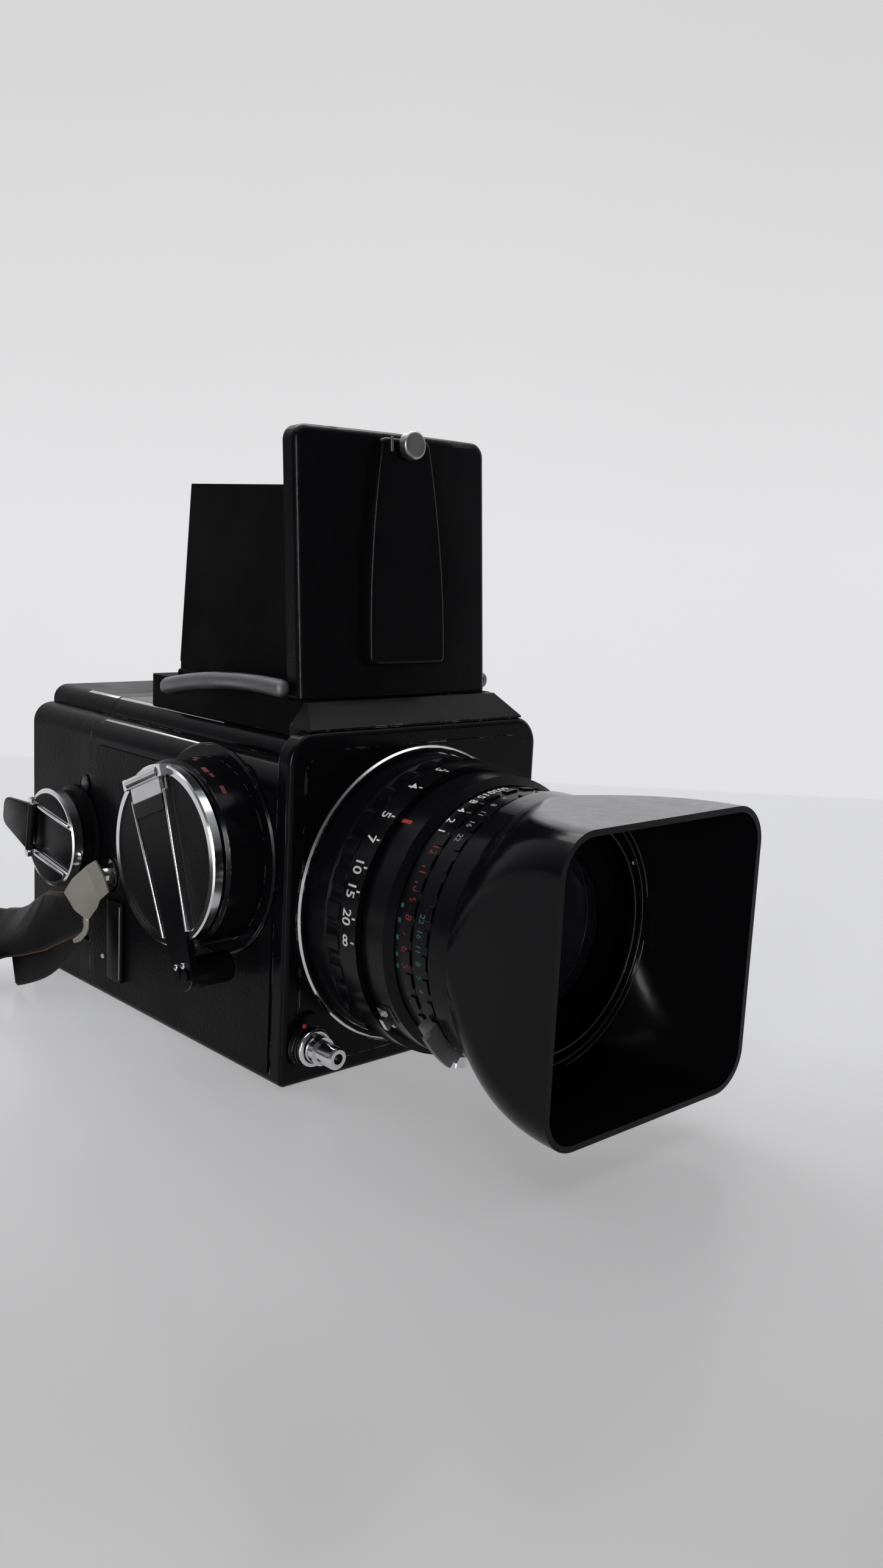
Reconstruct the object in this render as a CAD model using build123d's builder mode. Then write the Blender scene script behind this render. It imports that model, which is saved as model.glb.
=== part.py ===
# A medium format single lens reflex camera, standing on its base with the waist-level finder open.
# X is the width, Y runs from the lens (-Y) to the film magazine (+Y), and Z is up from the table.
# The origin is the mouth of the tripod socket, in the middle of the base plate's underside.
import os
from math import asin, atan2, cos, degrees, hypot, pi, radians, sin, sqrt

from build123d import *

os.makedirs("parts", exist_ok=True)

# Body
body_half_width = 43.5
body_depth = 97.2
body_bottom = 1.2
front_y = -52.0
deck_z = 89.7
shoulder_z = 84.3
shoulder_inset = 6.8
shoulder_half = body_half_width - shoulder_inset
shoulder_radius = 6.0
deck_radius = 4.5
bottom_radius = 1.8
shell_wall = 2.2
plate_thickness = 5.0
plate_top_z = 92.3
plate_corner = 8.0
plate_edge_round = 2.4
panel_margin = 4.6
panel_height = 0.6
rear_frame_thickness = 3.0
covering_thickness = 0.5
running_gap = 0.3
face_gap = 0.2
pin_clearance = 0.06

# Lens and its mount
lens_axis = 46.6
focus_radius = 38.6
flange_radius = focus_radius - 0.4
mount_radius = flange_radius + 2.1
mount_lip = 1.7
mount_proud = 1.0
mount_seat_depth = 2.0
sleeve_radius = flange_radius + 0.8
sleeve_wall = 1.1
sleeve_length = 20.0
bayonet_radius = flange_radius - 2.4
bayonet_bore = bayonet_radius - 2.5
bayonet_lug_depth = 1.8
bayonet_lug_span = 50.0
bayonet_lug_length = 3.0
flange_length = 9.0
focus_length = 11.3
flute_band = 5.0
flute_count = 30
flute_radius = 3.0
flute_depth = 1.1
index_radius = focus_radius - 2.1
index_length = 7.7
index_slope = 1.5
setting_radius = index_radius - 2.5
seat_radius = setting_radius - 3.0
shutter_ring_length = 5.6
aperture_ring_length = 5.3
rib_count = 36
front_barrel_radius = setting_radius - 1.0
front_barrel_length = 7.0
optics_radius = front_barrel_radius - 10.5

# Shade
shade_half = 35.9
shade_corner = 10.0
shade_length = 39.4
shade_wall = 1.5
shade_collar_length = 6.2
shade_mouth_radius = front_barrel_radius - 3.5
shade_collar_radius = front_barrel_radius + 2.0

# Finder
cover_half_width = 32.8
cover_lean = 5.6
cover_height = 68.2
cover_thickness = 1.3
cover_lip = 5.4
cover_bow = 1.6
cover_corner = 4.0
cover_foot_z = 99.2
cover_foot_depth = 11.0
leaf_thickness = 0.7
leaf_top_z = 152.2
leaf_half_spread = 29.7
leaf_rake = 4.2
base_half_width = 34.0
base_top_z = 98.6
base_back_depth = 80.0
well_half_width = 27.0
well_front_depth = 19.5
well_back_depth = 72.5

# Crank and magazine
crank_y = -20.0
crank_z = 57.7
crank_radius = 23.4
crank_base_radius = 24.4
crank_reach = 15.7
crank_tilt = 22.0
magazine_depth = 37.1
magazine_frame_thickness = 6.0
magazine_wall = 2.4
gate_half = 27.5
winder_y = 52.3
winder_z = 47.7
winder_radius = 14.6
winder_tilt = 9.0

# Stations along the depth that several pieces share
shell_front = front_y + plate_thickness
seam_y = front_y + body_depth
rear_frame_y = seam_y - rear_frame_thickness
shell_length = rear_frame_y - shell_front
magazine_back = seam_y + magazine_depth
magazine_shell_y = seam_y + face_gap + magazine_frame_thickness
optical_axis = Axis((0, 0, lens_axis), (0, 1, 0))


def front_plane(y):
    """Plane across the camera at a depth: local x is X, local y is Z, facing the front."""
    return Plane(origin=(0, y, 0), x_dir=(1, 0, 0), z_dir=(0, -1, 0))


def side_plane(x):
    """Plane along the camera at a width: local x is Y, local y is Z, facing +X."""
    return Plane(origin=(x, 0, 0), x_dir=(0, 1, 0), z_dir=(1, 0, 0))


def body_outline(y, inset=0.0):
    """Stepped cross-section of the body and the magazine: side walls, a ledge and a rounded deck."""
    half = body_half_width - inset
    step = shoulder_half - inset
    ledge = shoulder_z - inset
    top = deck_z - inset
    floor = body_bottom + inset
    outer = shoulder_radius - inset
    inner = deck_radius - inset
    with BuildSketch(front_plane(y)) as outline:
        with BuildLine():
            Polyline((0, floor), (half, floor), (half, ledge - outer))
            JernArc((half, ledge - outer), (0, 1), outer, 90)
            Polyline((half - outer, ledge), (step, ledge), (step, top - inner))
            JernArc((step, top - inner), (0, 1), inner, 90)
            Line((step - inner, top), (0, top))
            mirror(about=Plane.YZ)
        make_face()
    return outline.sketch


def turned(profile):
    """Ring turned about the lens axis from (depth, radius) corners."""
    with BuildPart() as piece:
        with BuildSketch(Plane.YZ):
            with BuildLine():
                Polyline(*[(y, lens_axis + r) for y, r in profile], close=True)
            make_face()
        revolve(axis=optical_axis)
    return piece.part


def turned_on_side(y, z, profile):
    """Ring turned about an axis along X from (width, radius) corners."""
    with BuildPart() as piece:
        with BuildSketch(Plane(origin=(0, y, z), x_dir=(1, 0, 0), z_dir=(0, -1, 0))):
            with BuildLine():
                Polyline(*profile, close=True)
            make_face()
        revolve(axis=Axis((0, y, z), (1, 0, 0)))
    return piece.part


def ring_sector(inner, outer, y, length, centre_deg, span_deg):
    """Part of a ring round the lens axis, from y towards +Y, centred on an angle."""
    half = radians(span_deg) / 2
    reach = outer / cos(half)
    with BuildPart() as piece:
        with BuildSketch(front_plane(y)):
            with Locations((0, lens_axis)):
                Circle(outer)
                Circle(inner, mode=Mode.SUBTRACT)
                with Locations(Rotation(0, 0, centre_deg)):
                    Polygon((0, 0), (reach * cos(half), -reach * sin(half)),
                            (reach * cos(half), reach * sin(half)), align=None, mode=Mode.INTERSECT)
        extrude(amount=-length)
    return piece.part


def along_y(radius, x, z, y0, y1):
    """Round bar along Y, from y0 to y1."""
    with BuildPart() as bar:
        with BuildSketch(front_plane(y0)):
            with Locations((x, z)):
                Circle(radius)
        extrude(amount=y0 - y1)
    return bar.part


def along_x(radius, y, z, x0, x1):
    """Round bar along X, from x0 to x1."""
    with BuildPart() as bar:
        with BuildSketch(side_plane(x0)):
            with Locations((y, z)):
                Circle(radius)
        extrude(amount=x1 - x0)
    return bar.part


def cylinder_between(radius, start, length):
    """Round bar that stands on a plane, along its normal."""
    with BuildPart() as bar:
        with BuildSketch(start):
            Circle(radius)
        extrude(amount=length)
    return bar.part


# Body shell: one deep casting, open at the front, the rear and under the finder
tripod_insert_radius = 7.0
screen_half = 26.5
screen_centre_depth = 46.0
screen_z = 94.0
screen_frame_rim = 2.6
crank_shaft_radius = 5.0
with BuildPart() as body_shell:
    extrude(body_outline(shell_front), amount=-shell_length)
    fillet(body_shell.edges().filter_by(Axis.Y).group_by(Axis.Z)[0], bottom_radius)
    extrude(body_outline(shell_front - 1, shell_wall), amount=-(shell_length + 2), mode=Mode.SUBTRACT)
    with BuildSketch(Plane.XY.offset(deck_z - shell_wall - 1)):
        with Locations((0, front_y + screen_centre_depth)):
            Rectangle(2 * (screen_half + screen_frame_rim), 2 * (screen_half + screen_frame_rim))
    extrude(amount=shell_wall + 2, mode=Mode.SUBTRACT)
    with BuildSketch(Plane.XY.offset(body_bottom - 1)):
        Circle(tripod_insert_radius)
    extrude(amount=shell_wall + 2, mode=Mode.SUBTRACT)
    add(along_x(crank_shaft_radius + pin_clearance, crank_y, crank_z,
                -body_half_width - 1, -body_half_width + shell_wall + 1), mode=Mode.SUBTRACT)
body_shell.part.label = "body_shell"
export_step(body_shell.part, "parts/body_shell.step")

# Front plate with a raised panel, a lens throat and the bores for the two front buttons
release_x = -35.8
release_z = 11.9
catch_x = 35.6
catch_z = 14.0
button_stem = 2.4
collar_radius = 5.0
with BuildPart() as front_plate:
    with BuildSketch(front_plane(front_y)):
        with BuildLine():
            Polyline((0, body_bottom), (body_half_width - bottom_radius, body_bottom))
            JernArc((body_half_width - bottom_radius, body_bottom), (1, 0), bottom_radius, 90)
            Line((body_half_width, body_bottom + bottom_radius),
                 (body_half_width, plate_top_z - plate_corner))
            JernArc((body_half_width, plate_top_z - plate_corner), (0, 1), plate_corner, 90)
            Line((body_half_width - plate_corner, plate_top_z), (0, plate_top_z))
            mirror(about=Plane.YZ)
        make_face()
    extrude(amount=-plate_thickness)
    fillet(front_plate.faces().sort_by(Axis.Y)[0].edges(), plate_edge_round * 0.7)
    with BuildSketch(front_plane(front_y)):
        with Locations((0, (body_bottom + plate_top_z) / 2)):
            RectangleRounded(2 * (body_half_width - panel_margin),
                             plate_top_z - body_bottom - 2 * panel_margin, plate_corner - 2)
    extrude(amount=panel_height)
    add(along_y(sleeve_radius + face_gap / 2, 0, lens_axis, front_y - 2, shell_front + 1), mode=Mode.SUBTRACT)
    add(along_y(mount_radius + face_gap / 2, 0, lens_axis, front_y - 2, front_y + mount_seat_depth),
        mode=Mode.SUBTRACT)
    add(along_y(button_stem + pin_clearance, release_x, release_z, front_y - 2, shell_front + 1),
        mode=Mode.SUBTRACT)
    add(along_y(button_stem + pin_clearance, catch_x, catch_z, front_y - 2, shell_front + 1),
        mode=Mode.SUBTRACT)
    add(along_y(collar_radius + 0.1, release_x, release_z, front_y - 2, front_y), mode=Mode.SUBTRACT)
front_plate.part.label = "front_plate"
export_step(front_plate.part, "parts/front_plate.step")

# Sloping strip between the front plate and the finder, with flared ends
strip_low_depth = 0.6
strip_lip = 0.5
strip_high_depth = 9.2
strip_high_z = 98.6
strip_low_half = 37.2
strip_high_half = 33.0
with BuildPart() as name_strip:
    with BuildSketch(side_plane(-strip_low_half)):
        with BuildLine():
            Polyline((front_y + strip_low_depth, plate_top_z), (shell_front, plate_top_z),
                     (shell_front, deck_z), (front_y + strip_high_depth, deck_z),
                     (front_y + strip_high_depth, strip_high_z),
                     (front_y + strip_high_depth - 1.5, strip_high_z),
                     (front_y + strip_low_depth, plate_top_z + strip_lip), close=True)
        make_face()
    extrude(amount=2 * strip_low_half)
    with BuildSketch(front_plane(front_y)):
        with BuildLine():
            Polyline((-strip_low_half, deck_z), (strip_low_half, deck_z),
                     (strip_low_half, plate_top_z + strip_lip), (strip_high_half, strip_high_z),
                     (-strip_high_half, strip_high_z), (-strip_low_half, plate_top_z + strip_lip), close=True)
        make_face()
    extrude(amount=-(strip_high_depth + 1), mode=Mode.INTERSECT)
name_strip.part.label = "name_strip"
export_step(name_strip.part, "parts/name_strip.step")

# Rear frame with the film gate, two locating pegs and a slotted latch opening
peg_radius = 1.6
peg_length = 3.0
peg_spread = 60.0
peg_z = 10.0
with BuildPart() as rear_frame:
    extrude(body_outline(rear_frame_y), amount=-rear_frame_thickness)
    fillet(rear_frame.edges().filter_by(Axis.Y).group_by(Axis.Z)[0], bottom_radius)
    with BuildSketch(front_plane(rear_frame_y - 1)):
        with Locations((0, lens_axis)):
            Rectangle(2 * gate_half, 2 * gate_half)
    extrude(amount=-(rear_frame_thickness + 2), mode=Mode.SUBTRACT)
    with BuildSketch(front_plane(seam_y)):
        with Locations((-peg_spread / 2, peg_z), (peg_spread / 2, peg_z)):
            Circle(peg_radius)
    extrude(amount=-peg_length)
rear_frame.part.label = "rear_frame"
export_step(rear_frame.part, "parts/rear_frame.step")

# Mirror box: an open light chamber between the lens throat and the film gate
box_wall = 1.6
chamber_half = 29.5
chamber_floor_z = 16.6
chamber_front = front_y + sleeve_length + 1.0
chamber_top = deck_z - shell_wall - face_gap
shaft_x = -19.0
shaft_z = 24.6
shaft_radius = 2.5
mirror_hinge_y = front_y + 84.9
mirror_hinge_z = 77.2
hinge_pin_radius = 0.75
flap_hinge_y = rear_frame_y - 1.25
upper_flap_z = lens_axis + gate_half - 0.5
lower_flap_z = lens_axis - gate_half + 0.5
flap_pin_radius = 0.5
pin_end = chamber_half + box_wall
with BuildPart() as mirror_box:
    with BuildSketch(front_plane(chamber_front)):
        with BuildLine():
            Polyline((-chamber_half - box_wall, chamber_top),
                     (-chamber_half - box_wall, chamber_floor_z - box_wall),
                     (chamber_half + box_wall, chamber_floor_z - box_wall),
                     (chamber_half + box_wall, chamber_top),
                     (chamber_half, chamber_top), (chamber_half, chamber_floor_z),
                     (-chamber_half, chamber_floor_z), (-chamber_half, chamber_top), close=True)
        make_face()
    extrude(amount=-(rear_frame_y - chamber_front))
    with BuildSketch(Plane.XY.offset(chamber_floor_z)):
        with Locations((shaft_x, chamber_front + 9)):
            Rectangle(8, 10)
    extrude(amount=shaft_z - chamber_floor_z + shaft_radius + 1.5)
    with BuildSketch(Plane.XY.offset(body_bottom + shell_wall)):
        with GridLocations(2 * (chamber_half - 6), 50, 2, 2):
            Circle(3)
    extrude(amount=chamber_floor_z - box_wall - body_bottom - shell_wall)
    add(along_y(shaft_radius + pin_clearance, shaft_x, shaft_z, chamber_front, chamber_front + 16),
        mode=Mode.SUBTRACT)
    add(along_x(hinge_pin_radius, mirror_hinge_y, mirror_hinge_z, -pin_end, pin_end))
    add(along_x(flap_pin_radius, flap_hinge_y, upper_flap_z, -pin_end, pin_end))
    add(along_x(flap_pin_radius, flap_hinge_y, lower_flap_z, -pin_end, pin_end))
mirror_box.part.label = "mirror_box"
export_step(mirror_box.part, "parts/mirror_box.step")

# Focusing screen and the frame that carries it, standing in the opening of the deck
screen_thickness = 1.4
with BuildPart() as screen_frame:
    with BuildSketch(Plane.XY.offset(deck_z - shell_wall)):
        with Locations((0, front_y + screen_centre_depth)):
            Rectangle(2 * (screen_half + screen_frame_rim) - 0.1, 2 * (screen_half + screen_frame_rim) - 0.1)
            Rectangle(2 * (screen_half - 1.5), 2 * (screen_half - 1.5), mode=Mode.SUBTRACT)
    extrude(amount=screen_z + screen_thickness - deck_z + shell_wall)
    with BuildSketch(Plane.XY.offset(screen_z)):
        with Locations((0, front_y + screen_centre_depth)):
            Rectangle(2 * screen_half, 2 * screen_half)
    extrude(amount=screen_thickness + 1, mode=Mode.SUBTRACT)
screen_frame.part.label = "screen_frame"
export_step(screen_frame.part, "parts/screen_frame.step")

with BuildPart() as focusing_screen:
    with BuildSketch(Plane.XY.offset(screen_z)):
        with Locations((0, front_y + screen_centre_depth)):
            Rectangle(2 * screen_half - 0.2, 2 * screen_half - 0.2)
    extrude(amount=screen_thickness)
focusing_screen.part.label = "focusing_screen"
export_step(focusing_screen.part, "parts/focusing_screen.step")

# Mirror: a glass plate in a pressed frame, at 45 degrees, hinged on a pin at its upper rear edge
mirror_length = 63.0
mirror_half = 27.5
mirror_frame_thickness = 1.6
mirror_glass_thickness = 1.0
mirror_barrel_radius = 1.5
mirror_plane = Plane(origin=(0, mirror_hinge_y, mirror_hinge_z), x_dir=(1, 0, 0), z_dir=(0, 1, -1))
with BuildPart() as mirror_frame:
    with BuildSketch(mirror_plane.offset(-mirror_frame_thickness / 2)):
        with Locations((0, mirror_length / 2)):
            Rectangle(2 * mirror_half, mirror_length)
            Rectangle(2 * mirror_half - 16, mirror_length - 18, mode=Mode.SUBTRACT)
    extrude(amount=mirror_frame_thickness)
    add(along_x(mirror_barrel_radius, mirror_hinge_y, mirror_hinge_z, -mirror_half, mirror_half))
    add(along_x(hinge_pin_radius + pin_clearance, mirror_hinge_y, mirror_hinge_z,
                -mirror_half - 1, mirror_half + 1), mode=Mode.SUBTRACT)
mirror_frame.part.label = "mirror_frame"
export_step(mirror_frame.part, "parts/mirror_frame.step")

with BuildPart() as mirror_glass:
    with BuildSketch(mirror_plane.offset(-mirror_frame_thickness / 2 - mirror_glass_thickness)):
        with Locations((0, mirror_length / 2 + mirror_barrel_radius)):
            Rectangle(2 * mirror_half - 1, mirror_length - 2 * mirror_barrel_radius - 1)
    extrude(amount=mirror_glass_thickness)
mirror_glass.part.label = "mirror_glass"
export_step(mirror_glass.part, "parts/mirror_glass.step")

# Two light-tight flaps in front of the film gate, one hinged above it and one below
flap_barrel_radius = 1.0
flap_thickness = 0.8
for name, pivot_z, free_z in (("upper_flap", upper_flap_z, lens_axis + face_gap),
                              ("lower_flap", lower_flap_z, lens_axis - face_gap)):
    with BuildPart() as flap:
        with BuildSketch(front_plane(flap_hinge_y - flap_thickness / 2)):
            with Locations((0, (pivot_z + free_z) / 2)):
                Rectangle(2 * gate_half + 2, abs(pivot_z - free_z))
        extrude(amount=-flap_thickness)
        add(along_x(flap_barrel_radius, flap_hinge_y, pivot_z, -gate_half - 1, gate_half + 1))
        add(along_x(flap_pin_radius + pin_clearance, flap_hinge_y, pivot_z, -gate_half - 2, gate_half + 2),
            mode=Mode.SUBTRACT)
    flap.part.label = name
    export_step(flap.part, f"parts/{name}.step")


# Shaft that cocks the lens: a slotted coupling in the throat, in a bearing on the chamber floor
coupling_radius = 3.4
with BuildPart() as cocking_shaft:
    add(along_y(shaft_radius, shaft_x, shaft_z, chamber_front + 2, chamber_front + 20))
    add(along_y(coupling_radius, shaft_x, shaft_z, chamber_front - 1, chamber_front + 3.6))
    with BuildSketch(front_plane(chamber_front - 1)):
        with Locations((shaft_x, shaft_z)):
            Rectangle(2 * coupling_radius + 1, 1.4)
    extrude(amount=-2, mode=Mode.SUBTRACT)
    add(along_y(shaft_radius + 1.2, shaft_x, shaft_z, chamber_front + 14.4, chamber_front + 20))
cocking_shaft.part.label = "cocking_shaft"
export_step(cocking_shaft.part, "parts/cocking_shaft.step")

# Base plate: a wedge-sided quick coupling foot under the body, with the tripod socket in its middle
base_plate_half = 24.0
base_plate_front = 41.0
base_plate_back = 34.0
base_groove = 2.0
socket_radius = 3.97
socket_depth = 7.0
with BuildPart() as base_plate:
    with BuildSketch(Plane.XY):
        with Locations((0, (base_plate_back - base_plate_front) / 2)):
            RectangleRounded(2 * base_plate_half, base_plate_front + base_plate_back, 4)
    extrude(amount=body_bottom)
    with BuildSketch(Plane.XY):
        Circle(tripod_insert_radius)
        with GridLocations(2 * base_plate_half - 12, base_plate_front + base_plate_back - 14, 2, 2):
            Circle(base_groove)
    extrude(amount=body_bottom + 1, mode=Mode.SUBTRACT)
base_plate.part.label = "base_plate"
export_step(base_plate.part, "parts/base_plate.step")

with BuildPart() as tripod_socket:
    with BuildSketch(Plane.XY):
        Circle(tripod_insert_radius - 0.05)
        Circle(socket_radius, mode=Mode.SUBTRACT)
    extrude(amount=socket_depth)
    with BuildSketch(Plane.XY.offset(socket_depth)):
        Circle(tripod_insert_radius - 0.05)
    extrude(amount=1.5)
tripod_socket.part.label = "tripod_socket"
export_step(tripod_socket.part, "parts/tripod_socket.step")

# Leather-grained coverings on the flat sides of the body
lug_inset = 11.9
lug_depth = body_depth - lug_inset
lug_z = 39.4
lug_base_radius = 5.0
flange_plate_radius = 28.0
covering_margin = 2.2
covering_top = shoulder_z - shoulder_radius - 1.6
with BuildPart() as side_coverings:
    for side in (-1, 1):
        with BuildSketch(side_plane(side * body_half_width)):
            with Locations(((shell_front + rear_frame_y) / 2,
                            (covering_top + body_bottom + covering_margin) / 2)):
                RectangleRounded(shell_length - 1.0, covering_top - body_bottom - covering_margin, 2)
            with Locations((front_y + lug_depth, lug_z)):
                Circle(lug_base_radius + 0.4, mode=Mode.SUBTRACT)
            if side < 0:
                with Locations((crank_y, crank_z)):
                    Circle(flange_plate_radius + 0.4, mode=Mode.SUBTRACT)
        extrude(amount=side * covering_thickness)
side_coverings.part.label = "side_coverings"
export_step(side_coverings.part, "parts/side_coverings.step")

# Accessory rail with two undercut edges, on the side away from the crank
rail_z = 62.0
rail_length = 46.0
with BuildPart() as accessory_rail:
    with BuildSketch(front_plane(front_y + body_depth / 2 - rail_length / 2)):
        with BuildLine():
            rail_root = body_half_width + covering_thickness
            Polyline((rail_root, rail_z - 9), (rail_root + 1.2, rail_z - 9), (rail_root + 1.2, rail_z - 6.6),
                     (rail_root + 2.2, rail_z - 7.8), (rail_root + 3.0, rail_z - 7.8),
                     (rail_root + 3.0, rail_z + 7.8), (rail_root + 2.2, rail_z + 7.8),
                     (rail_root + 1.2, rail_z + 6.6), (rail_root + 1.2, rail_z + 9), (rail_root, rail_z + 9),
                     close=True)
        make_face()
    extrude(amount=-rail_length)
accessory_rail.part.label = "accessory_rail"
export_step(accessory_rail.part, "parts/accessory_rail.step")

# Strap lugs: a washer, a stem and a mushroom head on each side
lug_stem_radius = 2.1
lug_head_radius = 4.0
lug_reach = 6.0
lug_profile = [(0, 0), (0, lug_base_radius), (-1.2, lug_base_radius), (-1.6, lug_stem_radius),
               (-4.2, lug_stem_radius), (-4.6, lug_head_radius), (-lug_reach + 0.6, lug_head_radius),
               (-lug_reach, lug_head_radius - 1.2), (-lug_reach, 0)]
with BuildPart() as strap_lugs:
    add(turned_on_side(front_y + lug_depth, lug_z, [(x - body_half_width, r) for x, r in lug_profile]))
    add(turned_on_side(front_y + lug_depth, lug_z, [(body_half_width - x, r) for x, r in lug_profile]))
strap_lugs.part.label = "strap_lugs"
export_step(strap_lugs.part, "parts/strap_lugs.step")

# Shutter release: a stepped button in a collar, with a lever round the collar that locks it down
collar_length = 3.4
release_shoulder = 3.7
release_tip_radius = 2.9
release_tip_y = front_y - 13.0
collar_front = front_y - panel_height - collar_length
with BuildPart() as release_collar:
    add(along_y(collar_radius, release_x, release_z, collar_front, front_y))
    fillet(release_collar.edges().filter_by(GeomType.CIRCLE).sort_by(Axis.Y)[0], 0.7)
    add(along_y(release_shoulder + running_gap, release_x, release_z, collar_front - 1,
                front_y - panel_height + 0.2), mode=Mode.SUBTRACT)
    add(along_y(button_stem + pin_clearance, release_x, release_z, front_y - 2, front_y + 1),
        mode=Mode.SUBTRACT)
release_collar.part.label = "release_collar"
export_step(release_collar.part, "parts/release_collar.step")

with BuildPart() as release_button:
    add(along_y(release_tip_radius, release_x, release_z, release_tip_y, collar_front - 2.6))
    add(along_y(1.9, release_x, release_z, release_tip_y + 1.8, release_tip_y + 3.2))
    add(along_y(release_shoulder, release_x, release_z, collar_front - 2.8, collar_front + 0.3))
    add(along_y(button_stem, release_x, release_z, collar_front, shell_front - 0.5))
    with BuildSketch(front_plane(release_tip_y - 1)):
        with Locations((release_x, release_z)):
            Circle(1.5)
    extrude(amount=-5, mode=Mode.SUBTRACT, taper=6)
    rims = release_button.edges().filter_by(GeomType.CIRCLE).group_by(Axis.Y)[0]
    chamfer(rims.sort_by(SortBy.RADIUS)[-1], 0.5)
release_button.part.label = "release_button"
export_step(release_button.part, "parts/release_button.step")

lever_inner = collar_radius + 0.25
with BuildPart() as release_lock_lever:
    with BuildSketch(front_plane(front_y - panel_height - 0.3)):
        with Locations((release_x, release_z)):
            Circle(lever_inner + 1.1)
        with Locations((release_x, release_z + lever_inner + 1.6)):
            RectangleRounded(4.2, 3.6, 1.2)
        with Locations((release_x, release_z)):
            Circle(lever_inner, mode=Mode.SUBTRACT)
    extrude(amount=1.4)
release_lock_lever.part.label = "release_lock_lever"
export_step(release_lock_lever.part, "parts/release_lock_lever.step")

# Button that frees the lens, on the other side of the throat
catch_radius = 3.4
catch_travel = 2.0
with BuildPart() as lens_release_button:
    add(along_y(catch_radius, catch_x, catch_z, front_y - panel_height - 3.4, front_y - panel_height
                - catch_travel - 0.2))
    add(along_y(button_stem, catch_x, catch_z, front_y - panel_height - 2.6, shell_front - 0.5))
    fillet(lens_release_button.edges().filter_by(GeomType.CIRCLE).sort_by(Axis.Y)[0], 0.8)
lens_release_button.part.label = "lens_release_button"
export_step(lens_release_button.part, "parts/lens_release_button.step")

# Lens mount: a bright ring seated in the front plate, with three bayonet tabs deep in its sleeve
tab_y = front_y + 10.0
tab_length = 3.0
bore_of_sleeve = sleeve_radius - sleeve_wall
with BuildPart() as mount_ring:
    add(turned([(front_y - mount_proud, mount_radius - mount_lip), (front_y - mount_proud, mount_radius),
                (front_y + mount_seat_depth, mount_radius), (front_y + mount_seat_depth, sleeve_radius),
                (front_y + sleeve_length, sleeve_radius), (front_y + sleeve_length, bore_of_sleeve),
                (front_y + mount_seat_depth - 0.6, bore_of_sleeve),
                (front_y + mount_seat_depth - 0.6, mount_radius - mount_lip)]))
    for angle in (90, 210, 330):
        add(ring_sector(bayonet_radius + running_gap, bore_of_sleeve + 0.5, tab_y, tab_length,
                        angle, bayonet_lug_span))
    rims = mount_ring.edges().filter_by(GeomType.CIRCLE).group_by(Axis.Y)[0]
    chamfer(rims.sort_by(SortBy.RADIUS)[-1], 0.5)
mount_ring.part.label = "mount_ring"
export_step(mount_ring.part, "parts/mount_ring.step")

# Crank base: a hollow drum on a round flange, with a bearing for the winding shaft
crank_base_length = 12.2
flange_plate_thickness = 1.2
drum_front = body_half_width + crank_base_length
bearing_radius = 8.0
with BuildPart() as crank_base:
    add(turned_on_side(crank_y, crank_z, [
        (-body_half_width, crank_shaft_radius + pin_clearance), (-body_half_width, flange_plate_radius),
        (-body_half_width - flange_plate_thickness + 0.5, flange_plate_radius),
        (-body_half_width - flange_plate_thickness, flange_plate_radius - 0.5),
        (-body_half_width - flange_plate_thickness, crank_base_radius),
        (-drum_front + 0.8, crank_base_radius), (-drum_front, crank_base_radius - 0.8),
        (-drum_front, crank_base_radius - 2.4), (-body_half_width - 2.4, crank_base_radius - 2.4),
        (-body_half_width - 2.4, bearing_radius), (-drum_front + 1.0, bearing_radius),
        (-drum_front + 1.0, crank_shaft_radius + pin_clearance)]))
crank_base.part.label = "crank_base"
export_step(crank_base.part, "parts/crank_base.step")

# Crank disc: a bright rim and back plate turning on the shaft, with a channel for the folded arm
disc_back = drum_front + 0.3
disc_front = body_half_width + crank_reach
disc_floor = disc_front - 1.6
rim_width = 1.9
arm_root_half = 7.6
arm_tip_half = 4.3
arm_length = 51.0
arm_hinge_radius = 20.4
arm_thickness = 2.2
arm_gap = 0.25
shaft_inner_end = 34.5
# Along the arm: local y runs from the knob end towards the hinge, turned from upright by the tilt
arm_frame = Plane(origin=(-disc_floor, crank_y, crank_z),
                  x_dir=(0, -cos(radians(crank_tilt)), sin(radians(crank_tilt))), z_dir=(-1, 0, 0))


def arm_outline(margin, tip_margin=0.0):
    """Tapered outline of the crank arm, with a round end at the knob, grown by a margin."""
    with BuildSketch(arm_frame) as outline:
        with BuildLine():
            root = arm_root_half + margin
            tip = arm_tip_half + margin
            end_y = arm_hinge_radius - arm_length - tip_margin
            Polyline((-tip, end_y), (-root, arm_hinge_radius), (root, arm_hinge_radius), (tip, end_y))
            RadiusArc((tip, end_y), (-tip, end_y), tip)
        make_face()
    return outline.sketch


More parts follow.
